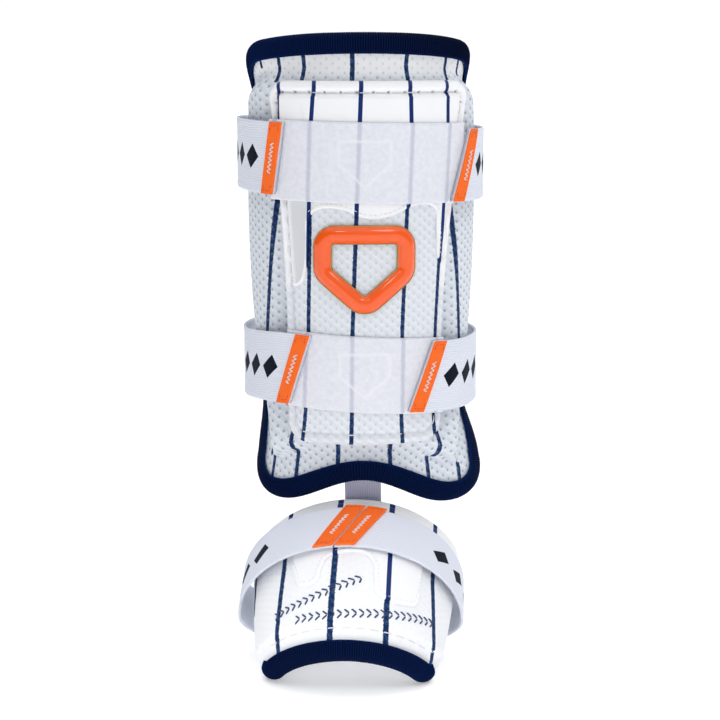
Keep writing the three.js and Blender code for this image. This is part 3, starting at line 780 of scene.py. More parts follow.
def panel_finish():
    """White sports mesh with staggered holes, greyer by its tone mark, which is partly the mesh's own grey
    and partly painted shade, smooth leather where marked, and pinstripes over both."""
    finish = Finish("panel_fabric", Sheen_Weight=0.03, Specular_IOR_Level=0.15)
    u, v = finish.flat()
    row = v / HOLE_ROW
    shift = row.math("FLOOR").math("MODULO", 2.0) * 0.5
    y = (row.math("FRACT") - 0.5) * HOLE_ROW
    x = ((u / HOLE_COLUMN + shift).math("FRACT") - 0.5) * HOLE_COLUMN
    leather = finish.mark("leather")
    holes = finish.mark("hole")
    tone = finish.mark("tone")
    cloth = 1 - leather
    hole = (1 - finish.smooth((x * x + y * y * 0.6).math("SQRT"), 0.1, 0.95)) * cloth
    grain = finish.noise(0.7)
    edge = finish.mark("stripe") + (grain - 0.5) * 0.9 * cloth
    stripe = 1 - finish.smooth(edge, STRIPE_HALF - 0.12, STRIPE_HALF + 0.12)
    ahead, aside = u * (2 * math.pi / HOLE_COLUMN), v * (math.pi / HOLE_ROW)
    strand = (ahead + aside).math("COSINE") * 0.7 + (ahead - aside).math("COSINE") * 0.3
    streak = (u * 1.7 + v).wave(2.4)
    # The tone mark greys the mesh: partly its own grey, partly painted shade.
    shade = tone * (0.8 + strand * 0.3 + streak * 0.12 + (grain - 0.5) * 0.8)
    base = finish.mix(leather, finish.mix(shade, MESH_WHITE, MESH_GREY_AND_SHADE), LEATHER_WHITE)
    dark = finish.mix(leather, NAVY, BLUE)
    worn = finish.smooth(grain * 0.7 - strand * 0.15, 0.3, 0.6)
    dark = finish.mix(worn * 0.5 * cloth, dark, paint(70, 108, 164))
    colour = finish.mix(stripe, base, dark)
    # Painted shade darkens the mesh holes here, and the seam's needle holes on the next line.
    colour = finish.mix(hole * holes, colour, HOLE_SHADE)
    colour = finish.mix(finish.mark("pierce"), colour, NEEDLE_SHADE)
    height = grain * 0.35 - (strand * 0.15 + streak * 0.05) * cloth - hole * holes
    finish.set(Base_Color=colour, Normal=finish.bump(height, 0.35), Roughness=0.85 - leather * 0.35)
    return finish.material


def leather_finish():
    """Smooth white synthetic leather with a fine grain and crisp pinstripes, greyer by painted shade where
    its shade mark is.
    """
    finish = Finish("leather_white", Roughness=0.5, Specular_IOR_Level=0.2)
    grain = finish.noise(0.5)
    stripe = 1 - finish.smooth(finish.mark("stripe"), STRIPE_HALF - 0.1, STRIPE_HALF + 0.1)
    base = finish.mix(finish.noise(12.0) * 0.08, LEATHER_WHITE, paint(224, 226, 232))
    # Painted shade: the leather greys where the shade mark is, on the plate's left limb.
    base = finish.mix(finish.mark("shade") * 0.8, base, LEATHER_PAINTED_SHADE)
    finish.set(Base_Color=finish.mix(stripe, base, BLUE), Normal=finish.bump(grain, 0.08))
    return finish.material


def lining_finish():
    """Plain pale knit on the inside."""
    finish = Finish("lining_knit", Roughness=0.9, Sheen_Weight=0.15)
    u, v = finish.flat()
    knit = u.wave(1.4) * v.wave(1.1)
    tone = finish.mix(finish.noise(7.0) * 0.25, LINING, paint(190, 193, 203))
    finish.set(Base_Color=tone, Normal=finish.bump(knit + finish.noise(0.6), 0.18))
    return finish.material


def tape_finish():
    """Dark blue ribbed tape, lighter along its selvedges."""
    finish = Finish("edge_tape", Roughness=0.8, Specular_IOR_Level=0.05)
    along, _ = finish.flat()
    rib = (along * (2 * math.pi / TAPE["rib_pitch"])).math("COSINE")
    selvedge = finish.mark("selvedge")
    # Rib crests painted lighter than their valleys: a painted highlight that follows the ribs.
    tone = finish.mix(finish.smooth(rib, -0.2, 1.0) * 0.5, TAPE_NAVY, paint(4, 34, 92))
    colour = finish.mix(selvedge, tone, TAPE_EDGE)
    finish.set(Base_Color=colour, Normal=finish.bump(finish.noise(0.35), 0.12))
    return finish.material


def elastic_finish(name, tone, shade, motif):
    """Ribbed elastic, its ribs running along it, with a row of dark diamonds near each end where asked."""
    finish = Finish(name, Roughness=0.8, Sheen_Weight=0.03, Specular_IOR_Level=0.1)
    along, rise = finish.flat()
    rib = rise.wave(1.3)
    pick = along.wave(0.8)
    # Rib valleys painted darker and crests lighter: painted shade that follows the ribs.
    colour = finish.mix(finish.smooth(rib + finish.noise(1.2) - 0.5, -1.0, 1.0), shade, tone)
    if motif:
        step = (along - motif["start"]) / motif["pitch"]
        inside = step.math("GREATER_THAN", 0.0) * step.math("LESS_THAN", float(motif["count"]))
        local = (step.math("FRACT") - 0.5) * motif["pitch"]
        diamond = local.math("ABSOLUTE") + rise.math("ABSOLUTE")
        ink = (1 - finish.smooth(diamond, motif["reach"] - 0.15, motif["reach"] + 0.15)) * inside
        colour = finish.mix(ink, colour, INK)
    height = rib * 0.5 + pick * 0.15 + finish.noise(0.5) * 0.4
    finish.set(Base_Color=colour, Normal=finish.bump(height, 0.12))
    return finish.material


def loop_finish():
    """Fuzzy lilac-white loop fabric through which the pinstripes show softly."""
    finish = Finish("loop_fabric", Roughness=0.95, Sheen_Weight=0.15, Specular_IOR_Level=0.1)
    fuzz = finish.noise(0.8, detail=4.0)
    cloud = finish.noise(2.6)
    stripe = 1 - finish.smooth(finish.mark("stripe") + (fuzz - 0.5) * 1.6, 0.4, 1.7)
    colour = finish.mix(finish.smooth(cloud, 0.3, 0.75) * 0.7, LOOP_LILAC, paint(227, 228, 238))
    colour = finish.mix(stripe * 0.32, colour, paint(120, 128, 170))
    weld = finish.mark("weld")
    colour = finish.mix(weld * 0.8, colour, paint(243, 243, 248))
    finish.set(Base_Color=colour, Normal=finish.bump(fuzz * (1 - weld), 0.5))
    return finish.material


def ribbon_finish():
    """Fluorescent orange woven tape, whose painted glow gives back a little more light than falls on it."""
    # The emission is a painted glow that lifts the tape above what its lighting gives.
    finish = Finish("tab_ribbon", Roughness=0.75, Specular_IOR_Level=0.1, Emission_Strength=0.2)
    along, beside = finish.flat()
    weave = along.wave(0.55) * beside.wave(0.55)
    tone = finish.mix(finish.noise(1.5) * 0.4, ORANGE, paint(255, 132, 66))
    bump = finish.bump(weave + finish.noise(0.4) * 0.6, 0.12)
    finish.set(Base_Color=tone, Emission_Color=tone, Normal=bump)
    return finish.material


def enamel_finish():
    """Glossy domed orange with a gold rim where marked."""
    finish = Finish("badge_enamel", Coat_Weight=0.6, Coat_Roughness=0.08, Specular_IOR_Level=0.3)
    rim = finish.mark("rim")
    tone = finish.mix(finish.noise(6.0) * 0.15, ENAMEL, paint(240, 74, 20))
    colour = finish.mix(rim, tone, GOLD)
    finish.set(Base_Color=colour, Metallic=rim * 0.9, Roughness=0.18 + rim * 0.14)
    return finish.material


def thread_finish(name, colour, shade):
    """Twisted sewing thread."""
    finish = Finish(name, Roughness=0.6, Sheen_Weight=0.2)
    twist = finish.noise(0.4)
    finish.set(Base_Color=finish.mix(twist, colour, shade), Normal=finish.bump(twist, 0.1))
    return finish.material


CALF_MOTIF = dict(start=13, pitch=16.5, count=3, reach=6.6)
FOOT_MOTIF = dict(start=45, pitch=16.5, count=3, reach=6.2)
PANEL = panel_finish()
WHITE_LEATHER = leather_finish()
KNIT = lining_finish()
TAPE_FINISH = tape_finish()
CALF_ELASTIC = elastic_finish("calf_elastic", ELASTIC_LILAC, ELASTIC_SHADE, CALF_MOTIF)
FOOT_ELASTIC = elastic_finish("foot_elastic", ELASTIC_LILAC, ELASTIC_SHADE, FOOT_MOTIF)
LINK_ELASTIC = elastic_finish("link_elastic", LINK_GREY, paint(196, 195, 217), None)
LOOP = loop_finish()
RIBBON = ribbon_finish()
BADGE_ENAMEL = enamel_finish()
WHITE_THREAD = thread_finish("thread_white", THREAD_WHITE, paint(214, 214, 218))
NAVY_THREAD = thread_finish("thread_navy", paint(16, 42, 84), paint(34, 66, 116))
ORANGE_THREAD = thread_finish("thread_orange", THREAD_ORANGE, paint(190, 52, 10))


# Shin pad, plate and foot pad
SHIN_GRID, PLATE_GRID, FOOT_GRID = (169, 211), (161, 241), (131, 131)

# Cloth simulation of the shin pad's cover: grid step, pressure, frames and the most a point may move
SWELL = dict(step=3, pressure=4.0, frames=20, cap=1.8)


def refine(values, step):
    """Grid values spread evenly, row by row, onto a grid that is finer by a whole number of steps."""
    share = (np.arange(step) / step)[None, :, None]
    between = values[:-1, None] * (1 - share) + values[1:, None] * share
    return np.concatenate([between.reshape(-1, values.shape[1]), values[-1:]])


def cloth_swell(points, sewn):
    """Outward swelling, in millimetres, of a grid of cloth that is sewn or held down where marked and is
    pressed out from inside: a cloth simulation, read back along the starting normals and capped."""
    rows, columns = points.shape[:2]
    mesh = bpy.data.meshes.new("swell")
    mesh.from_pydata(points.reshape(-1, 3) * MM, [], grid_faces(rows, columns))
    mesh.update()
    cloth = add_object("swell", mesh)
    scene = bpy.context.scene
    cloth.vertex_groups.new(name="sewn").add(np.flatnonzero(sewn).tolist(), 1.0, "REPLACE")
    settings = cloth.modifiers.new("cloth", "CLOTH").settings
    settings.vertex_group_mass = "sewn"
    settings.use_pressure = True
    settings.uniform_pressure_force = SWELL["pressure"]
    settings.effector_weights.gravity = 0
    for moment in range(1, SWELL["frames"] + 1):
        scene.frame_set(moment)
    moved, start, normal = (np.empty(3 * rows * columns) for _ in range(3))
    graph = bpy.context.evaluated_depsgraph_get()
    cloth.evaluated_get(graph).data.vertices.foreach_get("co", moved)
    mesh.vertices.foreach_get("co", start)
    mesh.vertices.foreach_get("normal", normal)
    out = np.sum(((moved - start) * normal).reshape(-1, 3), axis=1) / MM
    bpy.data.objects.remove(cloth)
    bpy.data.meshes.remove(mesh)
    scene.frame_set(1)
    return np.clip(out, 0, SWELL["cap"]).reshape(rows, columns)


def pad_swell(flat, front):
    """Slight swelling of the pad's cover between its tape, the plate, the fold and the straps, which hold
    most of it down."""
    coarse = flat[:: SWELL["step"], :: SWELL["step"]]
    across, up = coarse[..., 0], coarse[..., 1]
    inset, _ = nearest(SHIN_PANEL.outline, across, up)
    under_plate = np.abs(across) < plate_side_on_pad(across, up) + 2
    under_plate &= (up > PLATE_BOTTOM["up"] - 3) & (up < PLATE_TOP["up"] + 3)
    folded = (np.abs(up - fold_up(across)) < 3.5) & (np.abs(across) > 28)
    strapped = [np.abs(up - strap["height"]) < STRAP["width"] / 2 + 1 for strap in (UPPER, LOWER)]
    sewn = (inset < 14) | under_plate | folded | strapped[0] | strapped[1]
    points = on_pad(across, up, front[:: SWELL["step"], :: SWELL["step"]])
    return refine(refine(cloth_swell(points, sewn), SWELL["step"]).T, SWELL["step"]).T


def shin_pad():
    """Mesh-covered foam half tube with a knit lining. Its shape is the formula's, and the cloth simulation
    moves its cover by well under a millimetre."""
    flat = SHIN_PANEL.grid(*SHIN_GRID)
    across, up = flat[..., 0], flat[..., 1]
    # Tone is partly the mesh's own grey and partly painted shade on the wings and flap. The top strip, in
    # the tape's shade, has no tone and fainter holes: painted light there.
    strip = smoothstep(up, 304, 310)
    marks = {"stripe": pad_stripe(across, up), "leather": 0 * up}
    marks |= {"hole": 0.64 - 0.42 * strip, "tone": 0.62 - 0.62 * strip}
    front = pad_height(across, up)
    front = front + pad_swell(flat, front)
    piece = panel_piece("shin_pad_cover", flat, front, 0 * up, on_pad, [PANEL, KNIT], marks)
    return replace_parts(piece, "shin_pad")


def shin_plate():
    """Thick stitched plate: leather at its top, mesh below the wave."""
    flat = PLATE_PANEL.grid(*PLATE_GRID)
    across, up = flat[..., 0], flat[..., 1]
    inset, _ = nearest(PLATE_PANEL.outline, across, up)
    # Needle holes marked for painted shade, stronger along the top.
    pierce = needle_share(*nearest(PLATE_SEAM, across, up)) * (0.15 + 0.85 * smoothstep(up, 282, 294))
    wave = np.interp(across, PLATE_WAVE[:, 0], PLATE_WAVE[:, 1])
    rim = (1 - smoothstep(inset, 5.5, 6.5)) * smoothstep(up, 188, 204)
    leather = np.maximum(rim, smoothstep(up, wave + 2, wave + 4))
    marks = {"stripe": plate_stripe(across, up), "leather": leather, "pierce": pierce}
    marks |= {"hole": 0.24 * smoothstep(inset, 3, 7), "tone": 0 * up + 0.5}
    back = PLATE_BASE + 0 * up
    front = plate_height(across, up)
    piece = panel_piece("shin_plate_cover", flat, front, back, on_plate, [PANEL, KNIT], marks)
    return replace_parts(piece, "shin_plate")


def foot_pad():
    """Mesh-covered instep pad with a leather ankle edge."""
    flat = FOOT_PANEL.grid(*FOOT_GRID)
    across, up = flat[..., 0], flat[..., 1]
    wave = np.interp(across, FOOT_WAVE[:, 0], FOOT_WAVE[:, 1], left=70, right=70)
    inset, _ = nearest(FOOT_PANEL.outline, across, up)
    side = smoothstep(inset, 6, 3) * smoothstep(up, 8, 14) * smoothstep(up, 84, 78)
    marks = {
        "stripe": foot_stripe(across, up) * FOOT_STRIPE_SHARE + 3 * side,
        "leather": smoothstep(up, wave + 3, wave + 6),
        "hole": 0 * up + 0.05,
        "tone": 0 * up + 0.05,
    }
    front = foot_height(across, up)
    piece = panel_piece("foot_pad_cover", flat, front, 0 * up, on_foot, [PANEL, KNIT], marks)
    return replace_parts(piece, "foot_pad")


# Edge tapes
TAPE_SMOOTHING = 12


def tape_section(width, flange, outer_steps, inner_steps):
    """Folded tape section as outward distance and height, with its rib direction: over a round nose,
    then back inside it. The last result is 1 on the two selvedges."""
    nose = flange / 2
    start = -nose
    lip = -width

    def fold(offset, steps):
        """One face of the folded tape, an offset outside its inner face, and its rib direction."""
        radius = nose + TAPE["clearance"] + offset
        turn = np.linspace(math.pi / 2, -math.pi / 2, steps + 1)
        out = np.concatenate([[lip, lip + 1.2], start + radius * np.cos(turn), [lip + 1.2, lip]])
        height = np.concatenate([[nose + radius] * 2, nose + radius * np.sin(turn), [nose - radius] * 2])
        nose_push = np.stack([np.cos(turn), np.sin(turn)], axis=-1)
        push = np.concatenate([[(0, 1)] * 2, nose_push, [(0, -1)] * 2])
        return np.column_stack([out, height]), push

    outer, push = fold(TAPE["thickness"], outer_steps)
    inner, _ = fold(0, inner_steps)
    section = np.concatenate([outer, inner[::-1]])
    pushes = np.concatenate([push, np.zeros((len(inner), 2))])
    selvedge = np.zeros(len(section))
    selvedge[[0, len(outer) - 1, len(outer), -1]] = 1
    return section, pushes, selvedge


def tape_piece(node, path, closed, width, flange, surface, inner_steps):
    """Tape folded over an edge: its section carried along the flat path, with ribs across it."""
    if closed:
        path = np.concatenate([path, path[:1]])
    total = lengths_along(path)[-1]
    ribs = round(total / TAPE["rib_pitch"])
    stations = 4 * ribs
    run = np.arange(stations) * total / stations
    flat_path = at_length(path, run)
    normal = outward(flat_path, closed)
    reach = TAPE_SMOOTHING
    padded = np.pad(normal, ((reach, reach), (0, 0)), "wrap" if closed else "edge")
    smooth = np.ones(2 * reach + 1) / (2 * reach + 1)
    normal = np.stack([np.convolve(column, smooth, "valid") for column in padded.T], axis=-1)
    section, push, selvedge = tape_section(width, flange, 10, inner_steps)
    rib = TAPE["rib"] * np.cos(2 * math.pi * np.arange(stations) / 4)
    out = section[None, :, 0] + rib[:, None] * push[None, :, 0]
    height = section[None, :, 1] + rib[:, None] * push[None, :, 1]
    spot = flat_path[:, None, :] + normal[:, None, :] * out[..., None]
    points = surface(spot[..., 0], spot[..., 1], height)
    beside = lengths_along(section)
    flat = np.stack(np.broadcast_arrays(run[:, None], beside[None, :]), axis=-1)
    marks = {"selvedge": np.broadcast_to(selvedge, height.shape)}
    faces = loft_faces(stations, len(section), closed)
    piece = make_piece(node + "_tape", points, faces, [TAPE_FINISH], flat, marks)
    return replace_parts(piece, node)


# Leather overlays and front bands
# Reach of the painted shade on the plate overlay's left limb: across, low and high ups, edge and sides
PAINTED_SHADE_REACH = dict(left=(24, 29), low=(150, 160), high=(250, 236), inset=(0.9, 1.7), side=(2, 4.5))


def plate_reach(up):
    """Left and right limits of the plate's leather, in the seam groove."""
    inset = PLATE["stitch"] + 0.3
    return inset - plate_side(-1, up), plate_side(1, up) - inset


def foot_reach(up):
    """Left and right limits of the foot's leather."""
    return FOOT_WAVE[0, 0] + 0 * up, FOOT_WAVE[-1, 0] + 0 * up


def overlay_piece(node, wave, top_up, reach, surface, base, stripe, columns, rows):
    """Leather sheet from a wavy lower edge up to a level line: its columns spread to its limits on both
    sides, and it thins out there and at its top. Its painted shade mark covers the plate's left limb."""
    edge = smooth_path(wave, columns)
    share = np.linspace(0, 1, rows)[:, None] ** 1.6
    up = edge[None, :, 1] + (top_up - edge[None, :, 1]) * share
    left, right = reach(up)
    place = (edge[:, 0] - edge[0, 0]) / (edge[-1, 0] - edge[0, 0])
    spread = left + (right - left) * place[None, :]
    across = edge[None, :, 0] + (spread - edge[None, :, 0]) * smoothstep(share, 0, 0.3)
    inset, _ = nearest(edge, across, up)
    side = np.minimum(across - left, right - across)
    feather = smoothstep(side, 0.2, 2.2) * smoothstep(top_up - up, 0.2, 2.2)
    lift = (LEATHER * (0.25 + 0.75 * dome(inset, 1.1)) + 0.3 * hump(inset, 1.0, 0.9)) * feather
    ground = base(across, up)
    flat = np.stack([across, up], axis=-1)
    # Painted shade on the plate's left limb, kept off its pale edge and its sides.
    shade = smoothstep(-across, *PAINTED_SHADE_REACH["left"]) * smoothstep(up, *PAINTED_SHADE_REACH["low"])
    shade = shade * smoothstep(up, *PAINTED_SHADE_REACH["high"])
    shade = shade * smoothstep(inset, *PAINTED_SHADE_REACH["inset"]) * smoothstep(side, *PAINTED_SHADE_REACH["side"])
    marks = {"stripe": stripe(across, up), "shade": shade}
    front = ground + GAP * feather + lift + 0.03
    back = ground - 0.25
    piece = panel_piece(node + "_leather", flat, front, back, surface, [WHITE_LEATHER], marks)
    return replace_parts(piece, node)


def band_piece(node, band, base):
    """Loop-fabric strip across the plate, with rounded edges and a welded outline in its middle."""
    columns, rows = 181, 71
    across, rise = np.meshgrid(
        np.linspace(-band["left"], band["right"], columns),
        np.linspace(band["low"], band["high"], rows),
    )
    inset = np.minimum(across + band["left"], band["right"] - across)
    inset = np.minimum(inset, np.minimum(rise - band["low"], band["high"] - rise))
    up = rise + band["tilt"] * across
    middle = (band["low"] + band["high"]) / 2
    weld = hump(nearest(plate_outline(13, middle), across, up)[0], 0, 0.75)
    front = base + BAND * (0.3 + 0.7 * dome(inset, 1.0)) + 0.35 * weld
    flat = np.stack([across, up], axis=-1)
    marks = {"stripe": plate_stripe(across, up), "weld": weld}
    piece = panel_piece(node + "_loop", flat, front, base + 0 * up, on_plate, [LOOP], marks)
    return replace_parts(piece, node)


def plate_outline(half, middle):
    """Closed five-sided outline with a point at its foot, about a height on the plate."""
    corners = [(-1, 0.85), (-1, -0.05), (0, -0.95), (1, -0.05), (1, 0.85), (-1, 0.85)]
    return np.array(corners) * half + (0, middle)


# Badge
def badge_piece():
    """Open five-sided bar: a domed section with a thin rim carried round a path with rounded corners."""
    half, corner = BADGE["half_width"], BADGE["corner"]
    points = np.array([
        (-half, BADGE["top"]), (-half, BADGE["shoulder"]), (0, BADGE["point"]),
        (half, BADGE["shoulder"]), (half, BADGE["top"]),
    ])
    normals = right_of(np.roll(points, -1, axis=0) - points)
    before = np.roll(normals, 1, axis=0)
    mid = unit(normals + before)
    centres = points - mid * (corner / np.sum(mid * normals, axis=1))[:, None]
    centre_rows, normal_rows = [], []
    arc, straight = np.linspace(0, 1, 14)[:, None], np.linspace(0, 1, 22)[1:-1, None]
    for i in range(5):
        after = (i + 1) % 5
        angle = math.acos(np.clip(before[i] @ normals[i], -1, 1))
        turned = np.sin((1 - arc) * angle) * before[i] + np.sin(arc * angle) * normals[i]
        normal_rows += [unit(turned), np.repeat(normals[i][None], len(straight), 0)]
        side = centres[i] * (1 - straight) + centres[after] * straight
        centre_rows += [np.repeat(centres[i][None], len(arc), 0), side]
    centre, normal = np.concatenate(centre_rows), np.concatenate(normal_rows)
    bar, tall = BADGE["bar"], BADGE["height"]
    x = np.linspace(-1, 1, 17)
    face_out = (bar - 0.55) * x
    face_height = 1.2 + (tall - 1.2) * (1 - np.abs(x) ** 2.4)
    out = np.concatenate([[-bar, -bar, -bar + 0.4], face_out, [bar - 0.4, bar, bar]])
    height = np.concatenate([[0, 1.25, 1.5], face_height, [1.5, 1.25, 0]])
    rim = np.concatenate([[1, 1, 1], np.zeros(17), [1, 1, 1]])
    spot = centre[:, None, :] + normal[:, None, :] * (corner + out)[None, :, None]
    base = PLATE_FACE + GAP - 0.2
    points = on_plate(spot[..., 0], spot[..., 1] + BADGE["centre"], base + height[None, :])
    faces = loft_faces(len(centre), len(out), closed=True)
    marks = {"rim": np.broadcast_to(rim, spot.shape[:2])}
    piece = make_piece("badge_enamel", points, faces, [BADGE_ENAMEL], marks=marks)
    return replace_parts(piece, "badge")


# Straps, tabs and link
STRAP_STEPS, STRAP_STATIONS = 26, 301
INNER_SHIFT = 60
END_ANGLE = 45.0


def strap_point(strap, degrees, rise, lift):
    """Point of a calf strap by its angle from the front, the rise across it and the lift off its inside."""
    turn = np.abs(np.where(degrees > 180, 360 - degrees, degrees))
    radius = read_smooth(turn, strap["table"]) + lift
    point = polar(np.radians(degrees), radius, strap["height"] + rise)
    side = smoothstep(turn, *STRAP_TURN)
    front_slope = strap["tilt"] * point[..., 0]
    side_slope = strap["side_tilt"] * point[..., 0] - strap["drop"]
    point[..., 2] += front_slope + (side_slope - front_slope) * side
    return point


def slant_degrees(strap, slant, rise):
    """Angle by which a slanted strap end runs ahead at a rise across the strap."""
    return np.degrees(slant * rise / read_smooth(END_ANGLE, strap["table"]))


def foot_strap_point(turn, back, lift):
    """Point of the foot strap: an oval round the instep and sole, wider than deep, by its turn from the
    crest, the distance back along the foot and the lift off its inside."""
    depth = np.where(np.cos(turn) > 0, FOOT_STRAP["upper"], FOOT_STRAP["lower"])
    normal_x, normal_y = np.sin(turn) * depth, np.cos(turn) * FOOT_STRAP["half"]
    size = np.hypot(normal_x, normal_y)
    rise = depth * np.cos(turn) - FOOT_STRAP["upper"] + lift * normal_y / size
    slope = instep_slope(FOOT_STRAP["at"])
    crest_height = FOOT_PAD["flange"] + FOOT_PAD["bolster"] + LEATHER + 3 * GAP
    _, crest_y, crest_z = on_foot_local(0, FOOT_STRAP["at"], crest_height)
    x = FOOT_STRAP["shift"] + FOOT_STRAP["half"] * np.sin(turn) + lift * normal_x / size
    y = crest_y - math.sin(slope) * rise + math.cos(slope) * back
    z = crest_z + math.cos(slope) * rise + math.sin(slope) * back
    return place_foot(x, y, z)


def ribbon_piece(name, points, run, beside, finish):
    """Flat band from the points of its section at each station, with its run and width as flat pattern."""
    stations, sides = points.shape[:2]
    flat = np.stack(np.broadcast_arrays(run, beside), axis=-1)
    return make_piece(name, points, loft_faces(stations, sides), [finish], flat)


def outer_rise(rise):
    """Flat place across a strap, moved far off on its inner face to keep marks to the outer one."""
    return np.where(np.arange(len(rise)) < STRAP_STEPS, rise, rise + INNER_SHIFT)[None, :]


def end_run(points):
    """Distance of each station of a strap from the nearer of its ends, along its middle, and its length."""
    run = lengths_along(points[:, STRAP_STEPS // 2])
    return np.minimum(run, run[-1] - run)[:, None], run[-1]


def calf_strap(node, strap):
    """Elastic band from its right end, round behind the calf, to its left end, each cut on a slant."""
    rise, lift = band_section(STRAP["width"], STRAP["thickness"], STRAP_STEPS)
    outer = np.arange(len(rise)) < STRAP_STEPS
    lift = lift + 0.18 * outer * smoothstep(np.abs(rise), 16.2, 16.8)
    share = np.linspace(0, 1, STRAP_STATIONS)[:, None]
    start, end = (slant_degrees(strap, slant, rise)[None, :] for slant in strap["slants"])
    degrees = (strap["right"] + start) * (1 - share) + (360 + strap["left"] + end) * share
    points = strap_point(strap, degrees, rise[None, :], lift[None, :])
    run, length = end_run(points)
    piece = ribbon_piece(node + "_elastic", points, run, outer_rise(rise), CALF_ELASTIC)
    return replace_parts(piece, node), length


def foot_strap():
    """Elastic band over the instep and under the sole, both ends meeting on a slant near the crest."""
    back, lift = band_section(FOOT_STRAP["width"], STRAP["thickness"], STRAP_STEPS)
    share = np.linspace(0, 1, STRAP_STATIONS)[:, None]
    cut = ((FOOT_STRAP["slant"] * back + FOOT_STRAP["meet"]) / FOOT_STRAP["half"])[None, :]
    split = FOOT_STRAP["split"] / FOOT_STRAP["half"]
    turn = cut + split + (2 * math.pi - 2 * split) * share
    points = foot_strap_point(turn, back[None, :], lift[None, :])
    run, length = end_run(points)
    piece = ribbon_piece("foot_strap_elastic", points, run, outer_rise(back), FOOT_ELASTIC)
    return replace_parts(piece, "foot_strap"), length


TAB_STATIONS = 61
TAB_SEAM = dict(beside=1.4, end=1.8, leg=3.2)
ZIGZAG = dict(count=15, swing=1.15, reach=8)


def calf_tab_surface(strap, end, slant, away):
    """Wrapping of a tab's own flat places, beside and along, onto a calf strap's outer face."""
    def surface(beside, along, height):
        per_degree = math.radians(1) * read_smooth(END_ANGLE, strap["table"])
        inward = away * (TAB["margin"] + TAB["width"] / 2) + beside
        degrees = end + slant_degrees(strap, slant, along) + inward / per_degree
        return strap_point(strap, degrees, along, STRAP["thickness"] + GAP + height)
    return surface


def foot_tab_surface(away):
    """Wrapping of a tab's own flat places onto the foot strap's outer face."""
    def surface(beside, along, height):
        inward = away * (FOOT_STRAP["split"] + FOOT_TAB["margin"] + FOOT_TAB["width"] / 2) + beside
        turn = (inward + FOOT_STRAP["slant"] * along + FOOT_STRAP["meet"]) / FOOT_STRAP["half"]
        return foot_strap_point(turn, along, STRAP["thickness"] + GAP + height)
    return surface


def tab_piece(node, surface, tab, strap_width):
    """Woven tab sewn across a strap end: the ribbon, its end stitches and a zigzag down its middle."""
    beside, lift = band_section(tab["width"], tab["thickness"], 12)
    rise = np.linspace(-strap_width / 2, strap_width / 2, TAB_STATIONS)[:, None]
    points = surface(beside[None, :], rise, lift[None, :])
    ribbon = ribbon_piece(node + "_ribbon", points, rise, beside[None, :], RIBBON)
    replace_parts(ribbon, node)

    def top(across, up):
        """Level outer face of the tab."""
        return tab["thickness"] + 0 * across

    x, y = tab["width"] / 2 - TAB_SEAM["beside"], strap_width / 2 - TAB_SEAM["end"]
    box = np.array([(-x, y - TAB_SEAM["leg"]), (-x, y), (x, y), (x, y - TAB_SEAM["leg"])])
    sews = [stitch_ends(box * (1, s), pitch=2.2, share=0.75) for s in (1, -1)]
    starts, ends = (np.concatenate([sew[k] for sew in sews]) for k in (0, 1))
    sewing = thread_piece(
        node + "_sewing", starts, ends, surface, top, ORANGE_THREAD,
        radius=0.22, lift=0.05, bury=0.4,
    )
    swing = ZIGZAG["swing"] * (-1.0) ** np.arange(ZIGZAG["count"])
    zigzag = np.stack([swing, np.linspace(-ZIGZAG["reach"], ZIGZAG["reach"], ZIGZAG["count"])], axis=-1)
    wave = thread_piece(
        node + "_zigzag", zigzag[:-1], zigzag[1:], surface, top, WHITE_THREAD,
        radius=0.3, lift=0.1, bury=0.25,
    )
    return [ribbon, sewing, wave]


def calf_tabs(name, strap):
    """Left and right tabs of a calf strap, with their sewing."""
    left = calf_tab_surface(strap, 360 + strap["left"], strap["slants"][1], -1)
    right = calf_tab_surface(strap, strap["right"], strap["slants"][0], 1)
    tabs = tab_piece(name + "_left", left, TAB, STRAP["width"])
    return tabs + tab_piece(name + "_right", right, TAB, STRAP["width"])


def ankle_link():
    """Web from the inside of the shin pad, down the ankle, to the inside of the foot pad."""
    shin = [on_pad(np.array(0.0), np.array(up), LINK["in_shin"]) for up in LINK_UPS["shin"]]
    hang = [polar(np.array(0.0), LINK["hang"], up) for up in LINK_UPS["hang"]]
    foot = [on_foot(np.array(0.0), np.array(up), LINK["in_foot"]) for up in LINK_UPS["foot"]]
    line = smooth_path(np.array([*shin, *hang, *foot]), LINK_STATIONS)
    share = np.linspace(0, 1, LINK_STATIONS)
    yaw = np.radians(FOOT_PLACE["yaw"]) * smoothstep(share, 0.3, 0.7)
    wide = np.stack([np.cos(yaw), np.sin(yaw), 0 * yaw], axis=-1)
    along = np.gradient(line, axis=0)
    out = unit(np.cross(along, wide))
    beside, lift = band_section(LINK["width"], LINK["thickness"], 16)
    lift = lift - LINK["thickness"] / 2
    offset = wide[:, None, :] * beside[None, :, None] + out[:, None, :] * lift[None, :, None]
    points = line[:, None, :] + offset
    length = lengths_along(line)[-1]
    run = (share * length)[:, None]
    piece = ribbon_piece("ankle_link_web", points, run, beside[None, :], LINK_ELASTIC)
    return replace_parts(piece, "ankle_link"), length


# Sewing
def plate_sewing():
    """Stitches lying in the groove round the plate, from needle hole to needle hole."""
    starts, ends = stitch_ends(PLATE_SEAM, PLATE_STITCH, share=0.84)
    shown = quiet_side(*starts.T) < 0.5
    starts, ends = starts[shown], ends[shown]
    return thread_piece(
        "plate_sewing", starts, ends, on_plate, plate_height, WHITE_THREAD,
        radius=0.34, lift=0.2, bury=1.2,
    )


